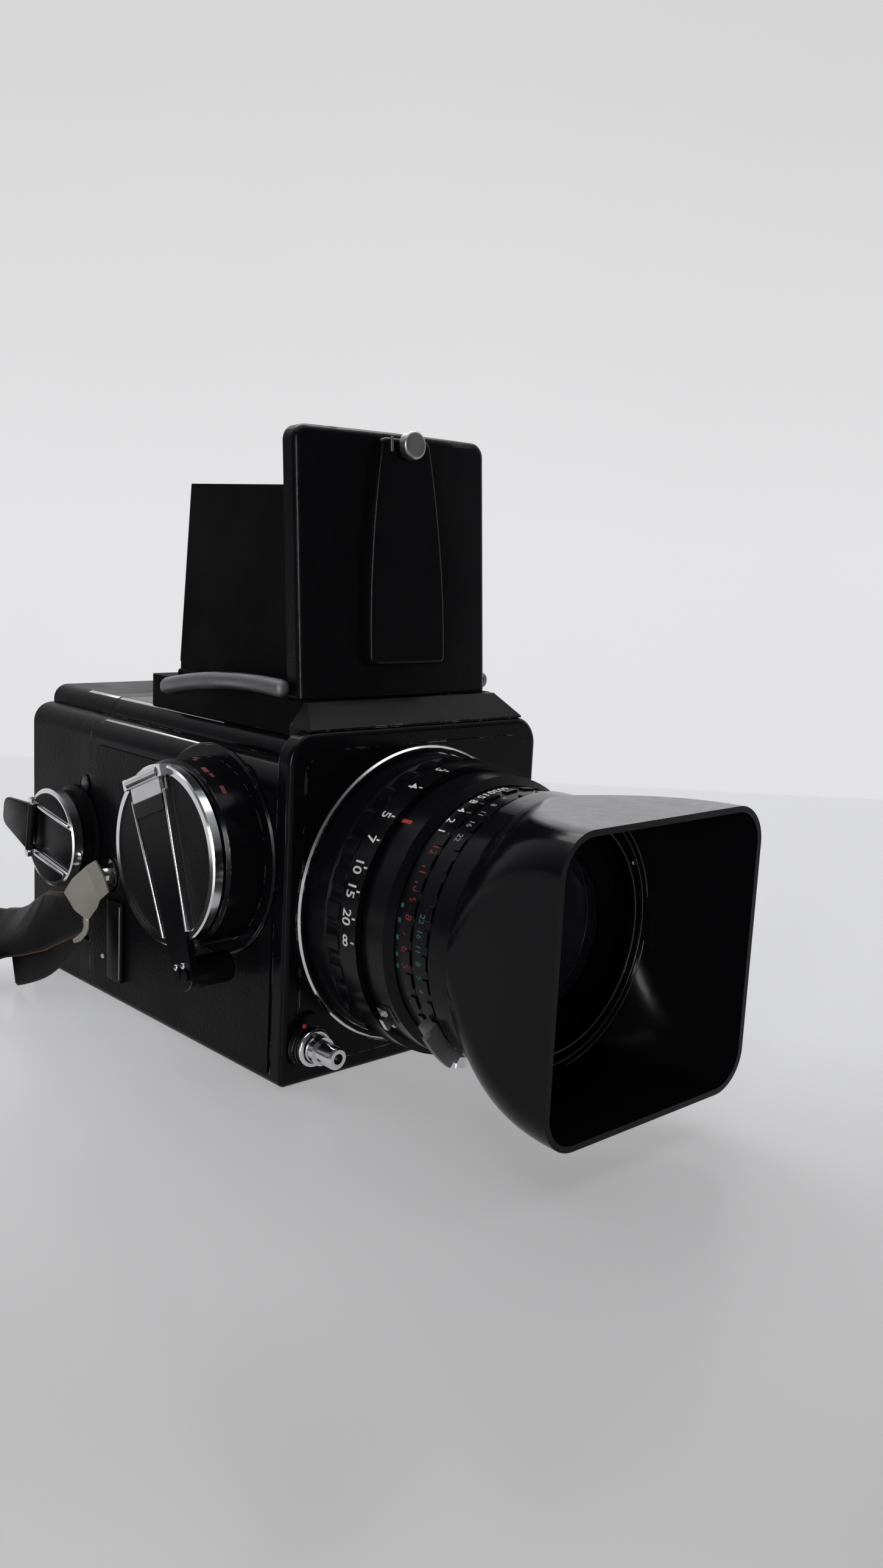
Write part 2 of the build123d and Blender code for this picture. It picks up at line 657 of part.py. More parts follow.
rim_height = disc_front - disc_floor
rib_width = 0.9
arm_axis_height = 2.4
arm_pin_radius = 0.6
arm_barrel_radius = 1.6
block_length = 9.5
with BuildPart() as crank_disc:
    add(turned_on_side(crank_y, crank_z, [
        (-shaft_inner_end, 0), (-shaft_inner_end, crank_shaft_radius), (-disc_back, crank_shaft_radius),
        (-disc_back, crank_radius - 0.5), (-disc_back - 0.5, crank_radius),
        (-disc_front + 0.4, crank_radius), (-disc_front, crank_radius - 0.4),
        (-disc_front, crank_radius - rim_width), (-disc_floor, crank_radius - rim_width), (-disc_floor, 0)]))
    with BuildSketch(arm_frame):
        Circle(crank_radius - rim_width + 0.1)
        add(arm_outline(arm_gap + rib_width).moved(arm_frame.location.inverse()), mode=Mode.INTERSECT)
    extrude(amount=rim_height)
    extrude(arm_outline(arm_gap), amount=rim_height + 1, mode=Mode.SUBTRACT)
    with BuildSketch(arm_frame):
        with Locations((0, arm_hinge_radius)):
            Rectangle(2 * (arm_root_half + arm_gap), 2 * arm_barrel_radius + 0.6)
    extrude(amount=rim_height + 1, mode=Mode.SUBTRACT)
    with BuildSketch(arm_frame):
        with Locations((-arm_root_half - arm_gap - 0.9, arm_hinge_radius),
                       (arm_root_half + arm_gap + 0.9, arm_hinge_radius)):
            Rectangle(1.8, 2.8)
    extrude(amount=arm_axis_height + 1.0)
    for side in (-1, 1):
        with BuildSketch(Plane(origin=arm_frame.from_local_coords(
                (side * (arm_root_half + arm_gap + 0.5), arm_hinge_radius, arm_axis_height)),
                x_dir=arm_frame.y_dir, z_dir=arm_frame.x_dir)):
            Circle(arm_pin_radius)
        extrude(amount=-side * 3.0)
crank_disc.part.label = "crank_disc"
export_step(crank_disc.part, "parts/crank_disc.step")

# Black inlays either side of the arm
with BuildPart() as crank_inlays:
    with BuildSketch(arm_frame):
        Circle(crank_radius - rim_width - 0.1)
        add(arm_outline(arm_gap + rib_width + 0.15).moved(arm_frame.location.inverse()), mode=Mode.SUBTRACT)
        with Locations((0, arm_hinge_radius)):
            Rectangle(2 * (arm_root_half + 3), 4, mode=Mode.SUBTRACT)
    extrude(amount=rim_height - 0.5)
crank_inlays.part.label = "crank_inlays"
export_step(crank_inlays.part, "parts/crank_inlays.step")

# Folding arm: a bright hinge block with its barrel, and the black arm that ends in the handle
axle_radius = 1.4
handle_radius = 4.1
handle_length = 11.4
handle_y = arm_hinge_radius - arm_length
arm_rest = 0.15
with BuildPart() as crank_hinge_block:
    with BuildSketch(arm_frame.offset(arm_rest)):
        with Locations((0, arm_hinge_radius - block_length / 2)):
            Rectangle(2 * arm_root_half - 0.8, block_length)
    extrude(amount=arm_thickness + 0.5)
    with BuildSketch(Plane(origin=arm_frame.from_local_coords((-arm_root_half, arm_hinge_radius,
                                                               arm_axis_height)),
                           x_dir=arm_frame.y_dir, z_dir=arm_frame.x_dir)):
        Circle(arm_barrel_radius)
    extrude(amount=2 * arm_root_half)
    with BuildSketch(Plane(origin=arm_frame.from_local_coords((-arm_root_half - 1, arm_hinge_radius,
                                                               arm_axis_height)),
                           x_dir=arm_frame.y_dir, z_dir=arm_frame.x_dir)):
        Circle(arm_pin_radius + pin_clearance)
    extrude(amount=2 * arm_root_half + 2, mode=Mode.SUBTRACT)
crank_hinge_block.part.label = "crank_hinge_block"
export_step(crank_hinge_block.part, "parts/crank_hinge_block.step")


with BuildPart() as crank_arm:
    with BuildSketch(arm_frame.offset(arm_rest)):
        add(arm_outline(0).moved(arm_frame.location.inverse()))
        with Locations((0, arm_hinge_radius - block_length / 2 + 5)):
            Rectangle(4 * arm_root_half, block_length + 10, mode=Mode.SUBTRACT)
    extrude(amount=arm_thickness)
    with BuildSketch(arm_frame.offset(arm_rest)):
        with Locations((0, handle_y)):
            Circle(axle_radius)
    extrude(amount=-handle_length - 0.3)
    with BuildSketch(arm_frame.offset(arm_rest + arm_thickness)):
        with Locations((-1.7, handle_y + 0.6), (1.7, handle_y - 0.6)):
            Circle(1.5)
    extrude(amount=0.7)
crank_arm.part.label = "crank_arm"
export_step(crank_arm.part, "parts/crank_arm.step")

# Handle that spins on the arm's axle, kept on by a screw; folded in beside the drum at rest
with BuildPart() as crank_handle:
    with BuildSketch(arm_frame.offset(arm_rest - 0.15)):
        with Locations((0, handle_y)):
            Circle(handle_radius)
    extrude(amount=-handle_length)
    fillet(crank_handle.edges().filter_by(GeomType.CIRCLE).sort_by(Axis.X)[-1], 1.2)
    with BuildSketch(arm_frame.offset(arm_rest)):
        with Locations((0, handle_y)):
            Circle(axle_radius + pin_clearance)
    extrude(amount=-handle_length - 1, mode=Mode.SUBTRACT)
crank_handle.part.label = "crank_handle"
export_step(crank_handle.part, "parts/crank_handle.step")

# Fixed lens barrel: a flange outside the mount and a bayonet sleeve with three lugs inside it
y_flange_back = front_y + mount_seat_depth - 0.8
y_flange_front = front_y - flange_length
sleeve_end = front_y + sleeve_length - 1.0
with BuildPart() as lens_base:
    add(turned([(y_flange_back, bayonet_bore), (sleeve_end, bayonet_bore), (sleeve_end, bayonet_radius),
                (y_flange_back, bayonet_radius), (y_flange_back, flange_radius),
                (y_flange_front + 0.6, flange_radius), (y_flange_front, flange_radius - 0.6),
                (y_flange_front, bayonet_bore)]))
    for angle in (90, 210, 330):
        add(ring_sector(bayonet_radius - 0.2, bayonet_radius + bayonet_lug_depth, tab_y + tab_length
                        + running_gap,
                        bayonet_lug_length, angle, bayonet_lug_span - 4))
lens_base.part.label = "lens_base"
export_step(lens_base.part, "parts/lens_base.step")

# Focus ring: a scalloped grip next to the body and a plain band for the distance scale
y_focus_back = y_flange_front - face_gap
y_focus_front = y_focus_back - focus_length
with BuildPart() as focus_ring:
    add(turned([(y_focus_back, front_barrel_radius + running_gap), (y_focus_back, focus_radius - 0.4),
                (y_focus_back - 0.4, focus_radius), (y_focus_back - flute_band, focus_radius),
                (y_focus_back - flute_band, focus_radius - 0.3), (y_focus_front, focus_radius - 0.3),
                (y_focus_front, front_barrel_radius + running_gap)]))
    with BuildSketch(front_plane(y_focus_back + 1)):
        with Locations((0, lens_axis)):
            with PolarLocations(focus_radius + flute_radius - flute_depth, flute_count):
                Circle(flute_radius)
    extrude(amount=flute_band + 1, mode=Mode.SUBTRACT)
focus_ring.part.label = "focus_ring"
export_step(focus_ring.part, "parts/focus_ring.step")

# Sliding lens barrel: index band, sloping shoulder, seat of the setting rings and front flange
y_index_back = y_focus_front - running_gap
y_index_front = y_index_back - index_length
y_seat = y_index_front - index_slope
y_shutter_back = y_seat - face_gap
y_shutter_front = y_shutter_back - shutter_ring_length
y_aperture_back = y_shutter_front - running_gap
y_aperture_front = y_aperture_back - aperture_ring_length
y_front_flange = y_aperture_front - face_gap
y_barrel_front = y_front_flange - front_barrel_length
y_barrel_back = front_y + 3.0
y_recess = y_barrel_front + 3.0
y_tail = y_barrel_back + 11.0
y_stop = y_recess + 24.0
cell_depth = 5.0
tail_radius = optics_radius + 1.5
tail_glass_radius = tail_radius - 6.6
rear_cell_depth = 4.0
trim_radius = front_barrel_radius - 2.8
flash_socket_angle = 262.0
flash_socket_radius = 2.6
flash_socket_seat = 1.0
flash_socket_frame = Plane(origin=(index_radius * cos(radians(flash_socket_angle)),
                                   (y_index_back + y_index_front) / 2,
                             lens_axis + index_radius * sin(radians(flash_socket_angle))),
                     x_dir=(0, 1, 0), z_dir=(cos(radians(flash_socket_angle)), 0,
                                             sin(radians(flash_socket_angle))))
with BuildPart() as lens_barrel:
    add(turned([(y_tail, tail_glass_radius + 0.1), (y_tail, tail_radius), (y_barrel_back, tail_radius),
                (y_barrel_back, front_barrel_radius), (y_index_back, front_barrel_radius),
                (y_index_back, index_radius - 0.3), (y_index_back - 0.3, index_radius),
                (y_index_front, index_radius), (y_seat, setting_radius + 0.4), (y_seat, seat_radius),
                (y_front_flange, seat_radius), (y_front_flange, front_barrel_radius),
                (y_barrel_front, front_barrel_radius), (y_barrel_front, trim_radius + 0.1),
                (y_recess, trim_radius + 0.1), (y_recess, optics_radius),
                (y_recess + cell_depth, optics_radius),
                (y_recess + cell_depth, optics_radius - 1), (y_stop, optics_radius - 1),
                (y_stop, tail_glass_radius - 1), (y_tail - rear_cell_depth, tail_glass_radius - 1),
                (y_tail - rear_cell_depth, tail_glass_radius + 0.1)]))
    add(cylinder_between(flash_socket_radius + 0.05, flash_socket_frame.offset(-flash_socket_seat), 20),
        mode=Mode.SUBTRACT)
lens_barrel.part.label = "lens_barrel"
export_step(lens_barrel.part, "parts/lens_barrel.step")

# Setting rings: shutter speeds behind, apertures in front, each with fine grip ribs at its edge
rib_depth = 0.5
rib_band = 1.8
for name, y_back, length in (("shutter_ring", y_shutter_back, shutter_ring_length),
                             ("aperture_ring", y_aperture_back, aperture_ring_length)):
    with BuildPart() as setting_ring:
        add(turned([(y_back, seat_radius + running_gap), (y_back, setting_radius),
                    (y_back - length + rib_band, setting_radius),
                    (y_back - length + rib_band, setting_radius + rib_depth),
                    (y_back - length, setting_radius + rib_depth),
                    (y_back - length, seat_radius + running_gap)]))
        with BuildSketch(front_plane(y_back - length - 1)):
            with Locations((0, lens_axis)):
                with PolarLocations(setting_radius + rib_depth, rib_count):
                    Rectangle(2 * rib_depth, 2.4)
        extrude(amount=-(rib_band + 1), mode=Mode.SUBTRACT)
    setting_ring.part.label = name
    export_step(setting_ring.part, f"parts/{name}.step")

# Coupling lever on the aperture ring, and the small flash selector on the index band
lever_angle = 223.0
lever_span = 22.0
selector_angle = 214.0
with BuildPart() as coupling_lever:
    add(ring_sector(setting_radius + rib_depth + 0.05, setting_radius + 3.2, y_aperture_front + 0.6,
                    aperture_ring_length - 1.4, lever_angle, lever_span))
    add(ring_sector(setting_radius + 2.6, setting_radius + 5.0, y_aperture_front + 0.6, 1.6,
                    lever_angle, lever_span - 4))
coupling_lever.part.label = "coupling_lever"
export_step(coupling_lever.part, "parts/coupling_lever.step")

with BuildPart() as flash_selector:
    add(ring_sector(index_radius + 0.15, index_radius + 1.4, y_index_front + 1.5, 3.6, selector_angle, 9))
    add(ring_sector(index_radius + 1.2, index_radius + 3.4, y_index_front + 1.5, 1.4, selector_angle, 5))
flash_selector.part.label = "flash_selector"
export_step(flash_selector.part, "parts/flash_selector.step")

# Flash socket: a short bright tube standing radially out of the index band
with BuildPart() as flash_socket:
    add(cylinder_between(flash_socket_radius, flash_socket_frame.offset(-flash_socket_seat),
                         flash_socket_seat + 3.4))
    add(cylinder_between(flash_socket_radius - 0.7, flash_socket_frame.offset(0.4), 4), mode=Mode.SUBTRACT)
flash_socket.part.label = "flash_socket"
export_step(flash_socket.part, "parts/flash_socket.step")

# Trim ring round the front glass: a flat, a fine ridge and a cone down to the glass
ridge_radius = trim_radius - 4.2
glass_radius = optics_radius - 1.7
with BuildPart() as trim_ring:
    add(turned([(y_recess, glass_radius + 0.2), (y_recess, trim_radius), (y_barrel_front + 1.2, trim_radius),
                (y_barrel_front + 1.2, ridge_radius + 0.5), (y_barrel_front + 0.4, ridge_radius),
                (y_barrel_front + 0.4, ridge_radius - 0.6), (y_recess - 0.6, glass_radius + 0.2)]))
trim_ring.part.label = "trim_ring"
export_step(trim_ring.part, "parts/trim_ring.step")


def cap_offset(rise, clear):
    """How far a spherical cap stands out of its rim's plane, halfway from its middle to its rim."""
    size = abs(rise)
    sphere = (clear ** 2 + size ** 2) / (2 * size)
    offset = size - sphere + sqrt(sphere ** 2 - (clear / 2) ** 2)
    return offset if rise > 0 else -offset


def glass_element(y_front, front_rise, thickness, back_rise, radius, rim):
    """Glass disc with a flat rim; a rise is how far its middle stands out of the rim's plane."""
    clear = radius - rim
    y_back = y_front + thickness
    with BuildPart() as element:
        with BuildSketch(Plane.YZ):
            with BuildLine():
                Polyline((y_back + back_rise, lens_axis), (y_front - front_rise, lens_axis))
                ThreePointArc((y_front - front_rise, lens_axis),
                              (y_front - cap_offset(front_rise, clear), lens_axis + clear / 2),
                              (y_front, lens_axis + clear))
                Polyline((y_front, lens_axis + clear), (y_front, lens_axis + radius),
                         (y_back, lens_axis + radius), (y_back, lens_axis + clear))
                ThreePointArc((y_back, lens_axis + clear),
                              (y_back + cap_offset(back_rise, clear), lens_axis + clear / 2),
                              (y_back + back_rise, lens_axis))
            make_face()
        revolve(axis=optical_axis)
    return element.part


# Glass: the domed front element, one at the stop and the small one in the tail
with BuildPart() as lens_glass:
    add(glass_element(y_recess, 3.4, cell_depth, -2.0, optics_radius - 0.05, optics_radius - 0.05
                      - glass_radius))
    add(glass_element(y_stop - 4.0, 1.4, 4.0, 0.8, optics_radius - 1.05, 5.4))
    add(glass_element(y_tail - rear_cell_depth, 0.6, rear_cell_depth, 0.8, tail_glass_radius, 1.4))
lens_glass.part.label = "lens_glass"
export_step(lens_glass.part, "parts/lens_glass.step")


def shade_section(y, half, corner):
    """Square with round corners across the shade."""
    with BuildSketch(front_plane(y)) as section:
        with Locations((0, lens_axis)):
            RectangleRounded(2 * half, 2 * half, corner)
    return section.sketch


# Square shade: a round bayonet collar that grows into a square mouth, held by three small screws
shade_back = y_front_flange - 1.2
shade_floor = shade_back - shade_collar_length
shade_front = shade_back - shade_length
shade_floor_thickness = 1.6
shade_shares = (0, 0.12, 0.3, 0.6, 1)


def shade_stations(first_y, wall):
    """Sections from the round collar to the square mouth: the corners tighten fast at first, then slowly."""
    stations = []
    for share in shade_shares:
        half = shade_collar_radius + (shade_half - shade_collar_radius) * share - wall
        corner = shade_corner + (shade_collar_radius - 1 - shade_corner) * (1 - share) ** 2.6 - wall
        stations.append(shade_section(first_y + (shade_front - first_y) * share, half, corner))
    return stations


with BuildPart() as shade:
    loft(shade_stations(shade_floor, 0))
    loft(shade_stations(shade_floor - shade_floor_thickness, shade_wall), mode=Mode.SUBTRACT)
    add(turned([(shade_back, front_barrel_radius + running_gap), (shade_back, shade_collar_radius),
                (shade_floor, shade_collar_radius), (shade_floor, front_barrel_radius + running_gap)]))
    add(turned([(shade_floor + 1, 0), (shade_floor + 1, shade_mouth_radius),
                (shade_floor - 3, shade_mouth_radius),
                (shade_floor - 3, 0)]), mode=Mode.SUBTRACT)
    add(turned([(shade_back + 1, 0), (shade_back + 1, front_barrel_radius + running_gap),
                (y_barrel_front - 0.3, front_barrel_radius + running_gap), (y_barrel_front - 0.3, 0)]),
        mode=Mode.SUBTRACT)
    with BuildSketch(front_plane(shade_floor - shade_floor_thickness)):
        with Locations((0, lens_axis)):
            with PolarLocations(shade_mouth_radius + 2.0, 3, start_angle=30):
                Circle(1.0)
    extrude(amount=0.5)
shade.part.label = "shade"
export_step(shade.part, "parts/shade.step")

# Finder base on the deck: a frame round the screen, with ears and pins for the three leaves
base_front_depth = 9.5
pin_radius = 0.45
knuckle_radius = 0.9
ear_thickness = 1.5
left_leaf_z = 99.9
right_leaf_z = 101.5
rear_leaf_z = 103.1
rear_leaf_depth = 72.2
rear_leaf_half = 27.0
leaf_front_depth = 19.6
leaf_end_depth = 69.4
cover_y = front_y + cover_foot_depth
knob_height = 64.6
magnifier_y = front_y + 20.0
magnifier_z = 157.5
rod_radius = 0.8
base_mid_y = front_y + (base_front_depth + base_back_depth) / 2


with BuildPart() as finder_base:
    with BuildSketch(Plane.XY.offset(deck_z)):
        with Locations((0, base_mid_y)):
            RectangleRounded(2 * base_half_width, base_back_depth - base_front_depth, 1.5)
    extrude(amount=base_top_z - deck_z)
    with BuildSketch(Plane.XY.offset(deck_z - 1)):
        with Locations((0, front_y + screen_centre_depth)):
            Rectangle(2 * (screen_half + screen_frame_rim) + 0.4, 2 * (screen_half + screen_frame_rim) + 0.4)
    extrude(amount=screen_z + screen_thickness + 0.6 - deck_z + 1, mode=Mode.SUBTRACT)
    with BuildSketch(Plane.XY.offset(deck_z)):
        with Locations((0, front_y + (well_front_depth + well_back_depth) / 2)):
            Rectangle(2 * well_half_width, well_back_depth - well_front_depth)
    extrude(amount=base_top_z - deck_z + 1, mode=Mode.SUBTRACT)
    with BuildSketch(Plane.XY.offset(base_top_z)):
        with Locations((0, cover_y + 2.8)):
            Rectangle(2 * cover_half_width - 3.2, 6.4)
    extrude(amount=cover_foot_z - base_top_z)
    for side, hinge_z in ((-1, left_leaf_z), (1, right_leaf_z)):
        for y0 in (front_y + leaf_front_depth - 0.3 - ear_thickness, front_y + leaf_end_depth + 0.3):
            with BuildSketch(front_plane(y0)):
                with Locations((side * leaf_half_spread, (base_top_z + hinge_z) / 2)):
                    Rectangle(2 * knuckle_radius, hinge_z - base_top_z)
                with Locations((side * leaf_half_spread, hinge_z)):
                    Circle(knuckle_radius)
            extrude(amount=-ear_thickness)
        add(along_y(pin_radius, side * leaf_half_spread, hinge_z,
                    front_y + leaf_front_depth - 1, front_y + leaf_front_depth + 2))
        add(along_y(pin_radius, side * leaf_half_spread, hinge_z,
                    front_y + leaf_end_depth - 2, front_y + leaf_end_depth + 1))
    for side in (-1, 1):
        with BuildSketch(side_plane(side * (rear_leaf_half + 0.3))):
            with Locations((front_y + rear_leaf_depth, (base_top_z + rear_leaf_z) / 2)):
                Rectangle(2 * knuckle_radius, rear_leaf_z - base_top_z)
            with Locations((front_y + rear_leaf_depth, rear_leaf_z)):
                Circle(knuckle_radius)
        extrude(amount=side * 1.2)
        add(along_x(pin_radius, front_y + rear_leaf_depth, rear_leaf_z,
                    min(side * (rear_leaf_half - 2), side * (rear_leaf_half + 1)),
                    max(side * (rear_leaf_half - 2), side * (rear_leaf_half + 1))))
finder_base.part.label = "finder_base"
export_step(finder_base.part, "parts/finder_base.step")

# Bright rails along both sides of the finder base
rail_front_depth = 13.5
rail_back_depth = 70.6
with BuildPart() as finder_rails:
    for side in (-1, 1):
        with BuildSketch(side_plane(side * base_half_width)):
            with Locations((front_y + (rail_front_depth + rail_back_depth) / 2, base_top_z - 1.0)):
                RectangleRounded(rail_back_depth - rail_front_depth, 3.8, 0.8)
        extrude(amount=side * 2.6)
finder_rails.part.label = "finder_rails"
export_step(finder_rails.part, "parts/finder_rails.step")

# Finder cover: a bowed plate with lips at its sides and top, and a tapering raised boss in the middle
cover_angle = degrees(asin(cover_lean / cover_height))
cover_frame = Plane(origin=(0, cover_y - cover_bow, cover_foot_z),
                    x_dir=(1, 0, 0), z_dir=(0, -cos(radians(cover_angle)), sin(radians(cover_angle))))
cover_rise = cover_height / cos(radians(cover_angle))
boss_height = 3.0
boss_sink = 0.9
boss_top = 66.5
boss_top_half = 8.0
boss_waist = 40.0
boss_waist_half = 11.8
boss_bottom = 8.0
boss_bottom_half = 13.0
boss_corner_round = 2.0
boss_face_round = 1.1
knob_stem_radius = 1.1
knob_stem_depth = 0.9
knob_press = 0.7
cover_edge_round = 2.0


def cover_block(inset, corner, edge_round):
    """Bowed block of the cover's outer shape, less an inset at its front, sides and top."""
    half = cover_half_width - inset
    back = cover_bow + cover_lip + 0.1 * inset
    foot = Plane(origin=cover_frame.origin, x_dir=(1, 0, 0), z_dir=cover_frame.y_dir)
    with BuildPart() as block:
        with BuildSketch(foot.offset(-2)):
            with BuildLine():
                ThreePointArc((-half, cover_bow + inset), (0, inset), (half, cover_bow + inset))
                Polyline((half, cover_bow + inset), (half, back), (-half, back), (-half, cover_bow + inset))
            make_face()
        extrude(amount=cover_rise + 2 - inset)
        top = block.faces().sort_by(Axis.Z)[-1]
        fillet([edge for edge in top.edges() if abs(edge.center().X) > half - 0.1], corner)
        face = block.faces().sort_by(Axis.Y)[0]
        fillet([edge for edge in face.edges() if edge.center().Z > base_top_z], edge_round)
    return block.part


def boss_block():
    """Raised boss: narrow at its top, with sides that bow out to its wide foot and rounded edges."""
    with BuildPart() as boss:
        with BuildSketch(cover_frame.offset(-boss_sink)):
            with BuildLine():
                Line((-boss_top_half, boss_top), (boss_top_half, boss_top))
                ThreePointArc((boss_top_half, boss_top), (boss_waist_half, boss_waist),
                              (boss_bottom_half, boss_bottom))
                Line((boss_bottom_half, boss_bottom), (-boss_bottom_half, boss_bottom))
                ThreePointArc((-boss_bottom_half, boss_bottom), (-boss_waist_half, boss_waist),
                              (-boss_top_half, boss_top))
            make_face()
        extrude(amount=boss_height + boss_sink)
        uprights = [edge for edge in boss.edges() if edge.length < boss_height + boss_sink + 0.6]
        fillet(uprights, boss_corner_round)
        face = boss.faces().sort_by(Axis.Y)[0]
        fillet(face.edges(), boss_face_round)
    return boss.part


with BuildPart() as finder_cover:
    add(cover_block(0, cover_corner, cover_edge_round))
    add(cover_block(cover_thickness, cover_corner - cover_thickness, cover_edge_round - 1),
        mode=Mode.SUBTRACT)
    add(boss_block())
    with BuildSketch(Plane.XY.offset(cover_foot_z)):
        Rectangle(200, 200)
    extrude(amount=-20, mode=Mode.SUBTRACT)
    with BuildSketch(cover_frame.offset(boss_height - knob_stem_depth - knob_press - face_gap)):
        with Locations((0, knob_height)):
            Circle(knob_stem_radius + 0.1)
    extrude(amount=3, mode=Mode.SUBTRACT)
    add(along_x(rod_radius, magnifier_y, magnifier_z, -cover_half_width + 0.6, cover_half_width - 0.6))
finder_cover.part.label = "finder_cover"
export_step(finder_cover.part, "parts/finder_cover.step")

# Knob on the boss that springs the magnifier out
with BuildPart() as cover_knob:
    with BuildSketch(cover_frame.offset(boss_height + 0.9)):
        with Locations((0, knob_height)):
            Circle(3.7)
    extrude(amount=2.6)
    fillet(cover_knob.edges().filter_by(GeomType.CIRCLE).sort_by(Axis.Y)[0], 0.9)
    with BuildSketch(cover_frame.offset(boss_height - knob_stem_depth)):
        with Locations((0, knob_height)):
            Circle(knob_stem_radius)
    extrude(amount=2 * knob_stem_depth)
cover_knob.part.label = "cover_knob"
export_step(cover_knob.part, "parts/cover_knob.step")

# Folding leaves: two at the sides that lean back, and one behind, each with a barrel along its foot
leaf_rear_depth = 71.0
for name, side, hinge_z in (("left_leaf", -1, left_leaf_z), ("right_leaf", 1, right_leaf_z)):
    hinge_x = side * leaf_half_spread
    with BuildPart() as leaf:
        with BuildSketch(side_plane(hinge_x - leaf_thickness / 2)):
            Polygon((front_y + leaf_front_depth + 0.2, hinge_z), (front_y + leaf_end_depth, hinge_z),
                    (front_y + leaf_end_depth, hinge_z + 2), (front_y + leaf_rear_depth, hinge_z + 3.2),
                    (front_y + leaf_rear_depth - leaf_rake, leaf_top_z), (front_y + 23.4, leaf_top_z),
                    (front_y + 19.0, hinge_z + 2.2), align=None)
        extrude(amount=leaf_thickness)
        add(along_y(knuckle_radius, hinge_x, hinge_z, front_y + leaf_front_depth + 0.2, front_y
                    + leaf_end_depth))
        for y0 in (front_y + leaf_front_depth, front_y + leaf_end_depth - 2.4):
            add(along_y(pin_radius + pin_clearance, hinge_x, hinge_z, y0, y0 + 2.6), mode=Mode.SUBTRACT)
    leaf.part.label = name
    export_step(leaf.part, f"parts/{name}.step")

rear_y = front_y + rear_leaf_depth
with BuildPart() as rear_leaf:
    with BuildSketch(front_plane(rear_y - leaf_thickness / 2)):
        Polygon((-rear_leaf_half, rear_leaf_z), (rear_leaf_half, rear_leaf_z),
                (rear_leaf_half, rear_leaf_z + 34), (rear_leaf_half - 5, leaf_top_z - 3),
                (-rear_leaf_half + 5, leaf_top_z - 3), (-rear_leaf_half, rear_leaf_z + 34), align=None)
    extrude(amount=-leaf_thickness)
    add(along_x(knuckle_radius, rear_y, rear_leaf_z, -rear_leaf_half, rear_leaf_half))
    for side in (-1, 1):
        add(along_x(pin_radius + pin_clearance, rear_y, rear_leaf_z,
                    min(side * (rear_leaf_half - 2.4), side * (rear_leaf_half + 1)),
                    max(side * (rear_leaf_half - 2.4), side * (rear_leaf_half + 1))), mode=Mode.SUBTRACT)
rear_leaf.part.label = "rear_leaf"
export_step(rear_leaf.part, "parts/rear_leaf.step")

# Magnifier: a ring on an arm that hangs behind the cover from a rod between its lips
magnifier_drop = 22.0
magnifier_radius = 12.0
with BuildPart() as magnifier_arm:
    with BuildSketch(front_plane(magnifier_y - 1.0)):
        with Locations((0, magnifier_z - magnifier_drop)):
            Circle(magnifier_radius)
        with Locations((0, magnifier_z - magnifier_drop / 2)):
            Rectangle(13, magnifier_drop)
        with Locations((0, magnifier_z - magnifier_drop)):
            Circle(magnifier_radius - 1.5, mode=Mode.SUBTRACT)
    extrude(amount=-1.6)
    add(along_x(rod_radius + 0.9, magnifier_y, magnifier_z, -6.5, 6.5))
    add(along_x(rod_radius + pin_clearance, magnifier_y, magnifier_z, -7, 7), mode=Mode.SUBTRACT)
magnifier_arm.part.label = "magnifier_arm"
export_step(magnifier_arm.part, "parts/magnifier_arm.step")

with BuildPart() as magnifier_lens:
    add(along_y(magnifier_radius - 1.5, 0, magnifier_z - magnifier_drop, magnifier_y - 1.2, magnifier_y
                + 0.8))
magnifier_lens.part.label = "magnifier_lens"
export_step(magnifier_lens.part, "parts/magnifier_lens.step")

# Magazine front frame: the film gate, the dark slide's slot and the holes for the body's pegs
frame_front = seam_y + face_gap
frame_gate_half = 28.2
slide_slot_y = frame_front + 3.8
slide_slot = 0.8
slide_half = 31.0
slide_thickness = 0.5
latch_y = frame_front + 3.0
latch_travel = 3.5
with BuildPart() as magazine_frame:
    extrude(body_outline(frame_front), amount=-magazine_frame_thickness)
    fillet(magazine_frame.edges().filter_by(Axis.Y).group_by(Axis.Z)[0], bottom_radius)
    with BuildSketch(front_plane(frame_front - 1)):
        with Locations((0, lens_axis)):
            Rectangle(2 * frame_gate_half, 2 * frame_gate_half)
        with Locations((-peg_spread / 2, peg_z), (peg_spread / 2, peg_z)):
            Circle(peg_radius + 0.25)
    extrude(amount=-(magazine_frame_thickness + 2), mode=Mode.SUBTRACT)
    with BuildSketch(front_plane(slide_slot_y)):
        with Locations((6, lens_axis)):
            Rectangle(2 * slide_half + 1 + 16, 2 * slide_half + 0.6)
    extrude(amount=-slide_slot, mode=Mode.SUBTRACT)
    with BuildSketch(Plane.XY.offset(deck_z - 4.5)):
        with Locations((latch_travel / 2, latch_y)):
            SlotCenterToCenter(latch_travel + 0.4, 2.9)
    extrude(amount=6, mode=Mode.SUBTRACT)
magazine_frame.part.label = "magazine_frame"
export_step(magazine_frame.part, "parts/magazine_frame.step")

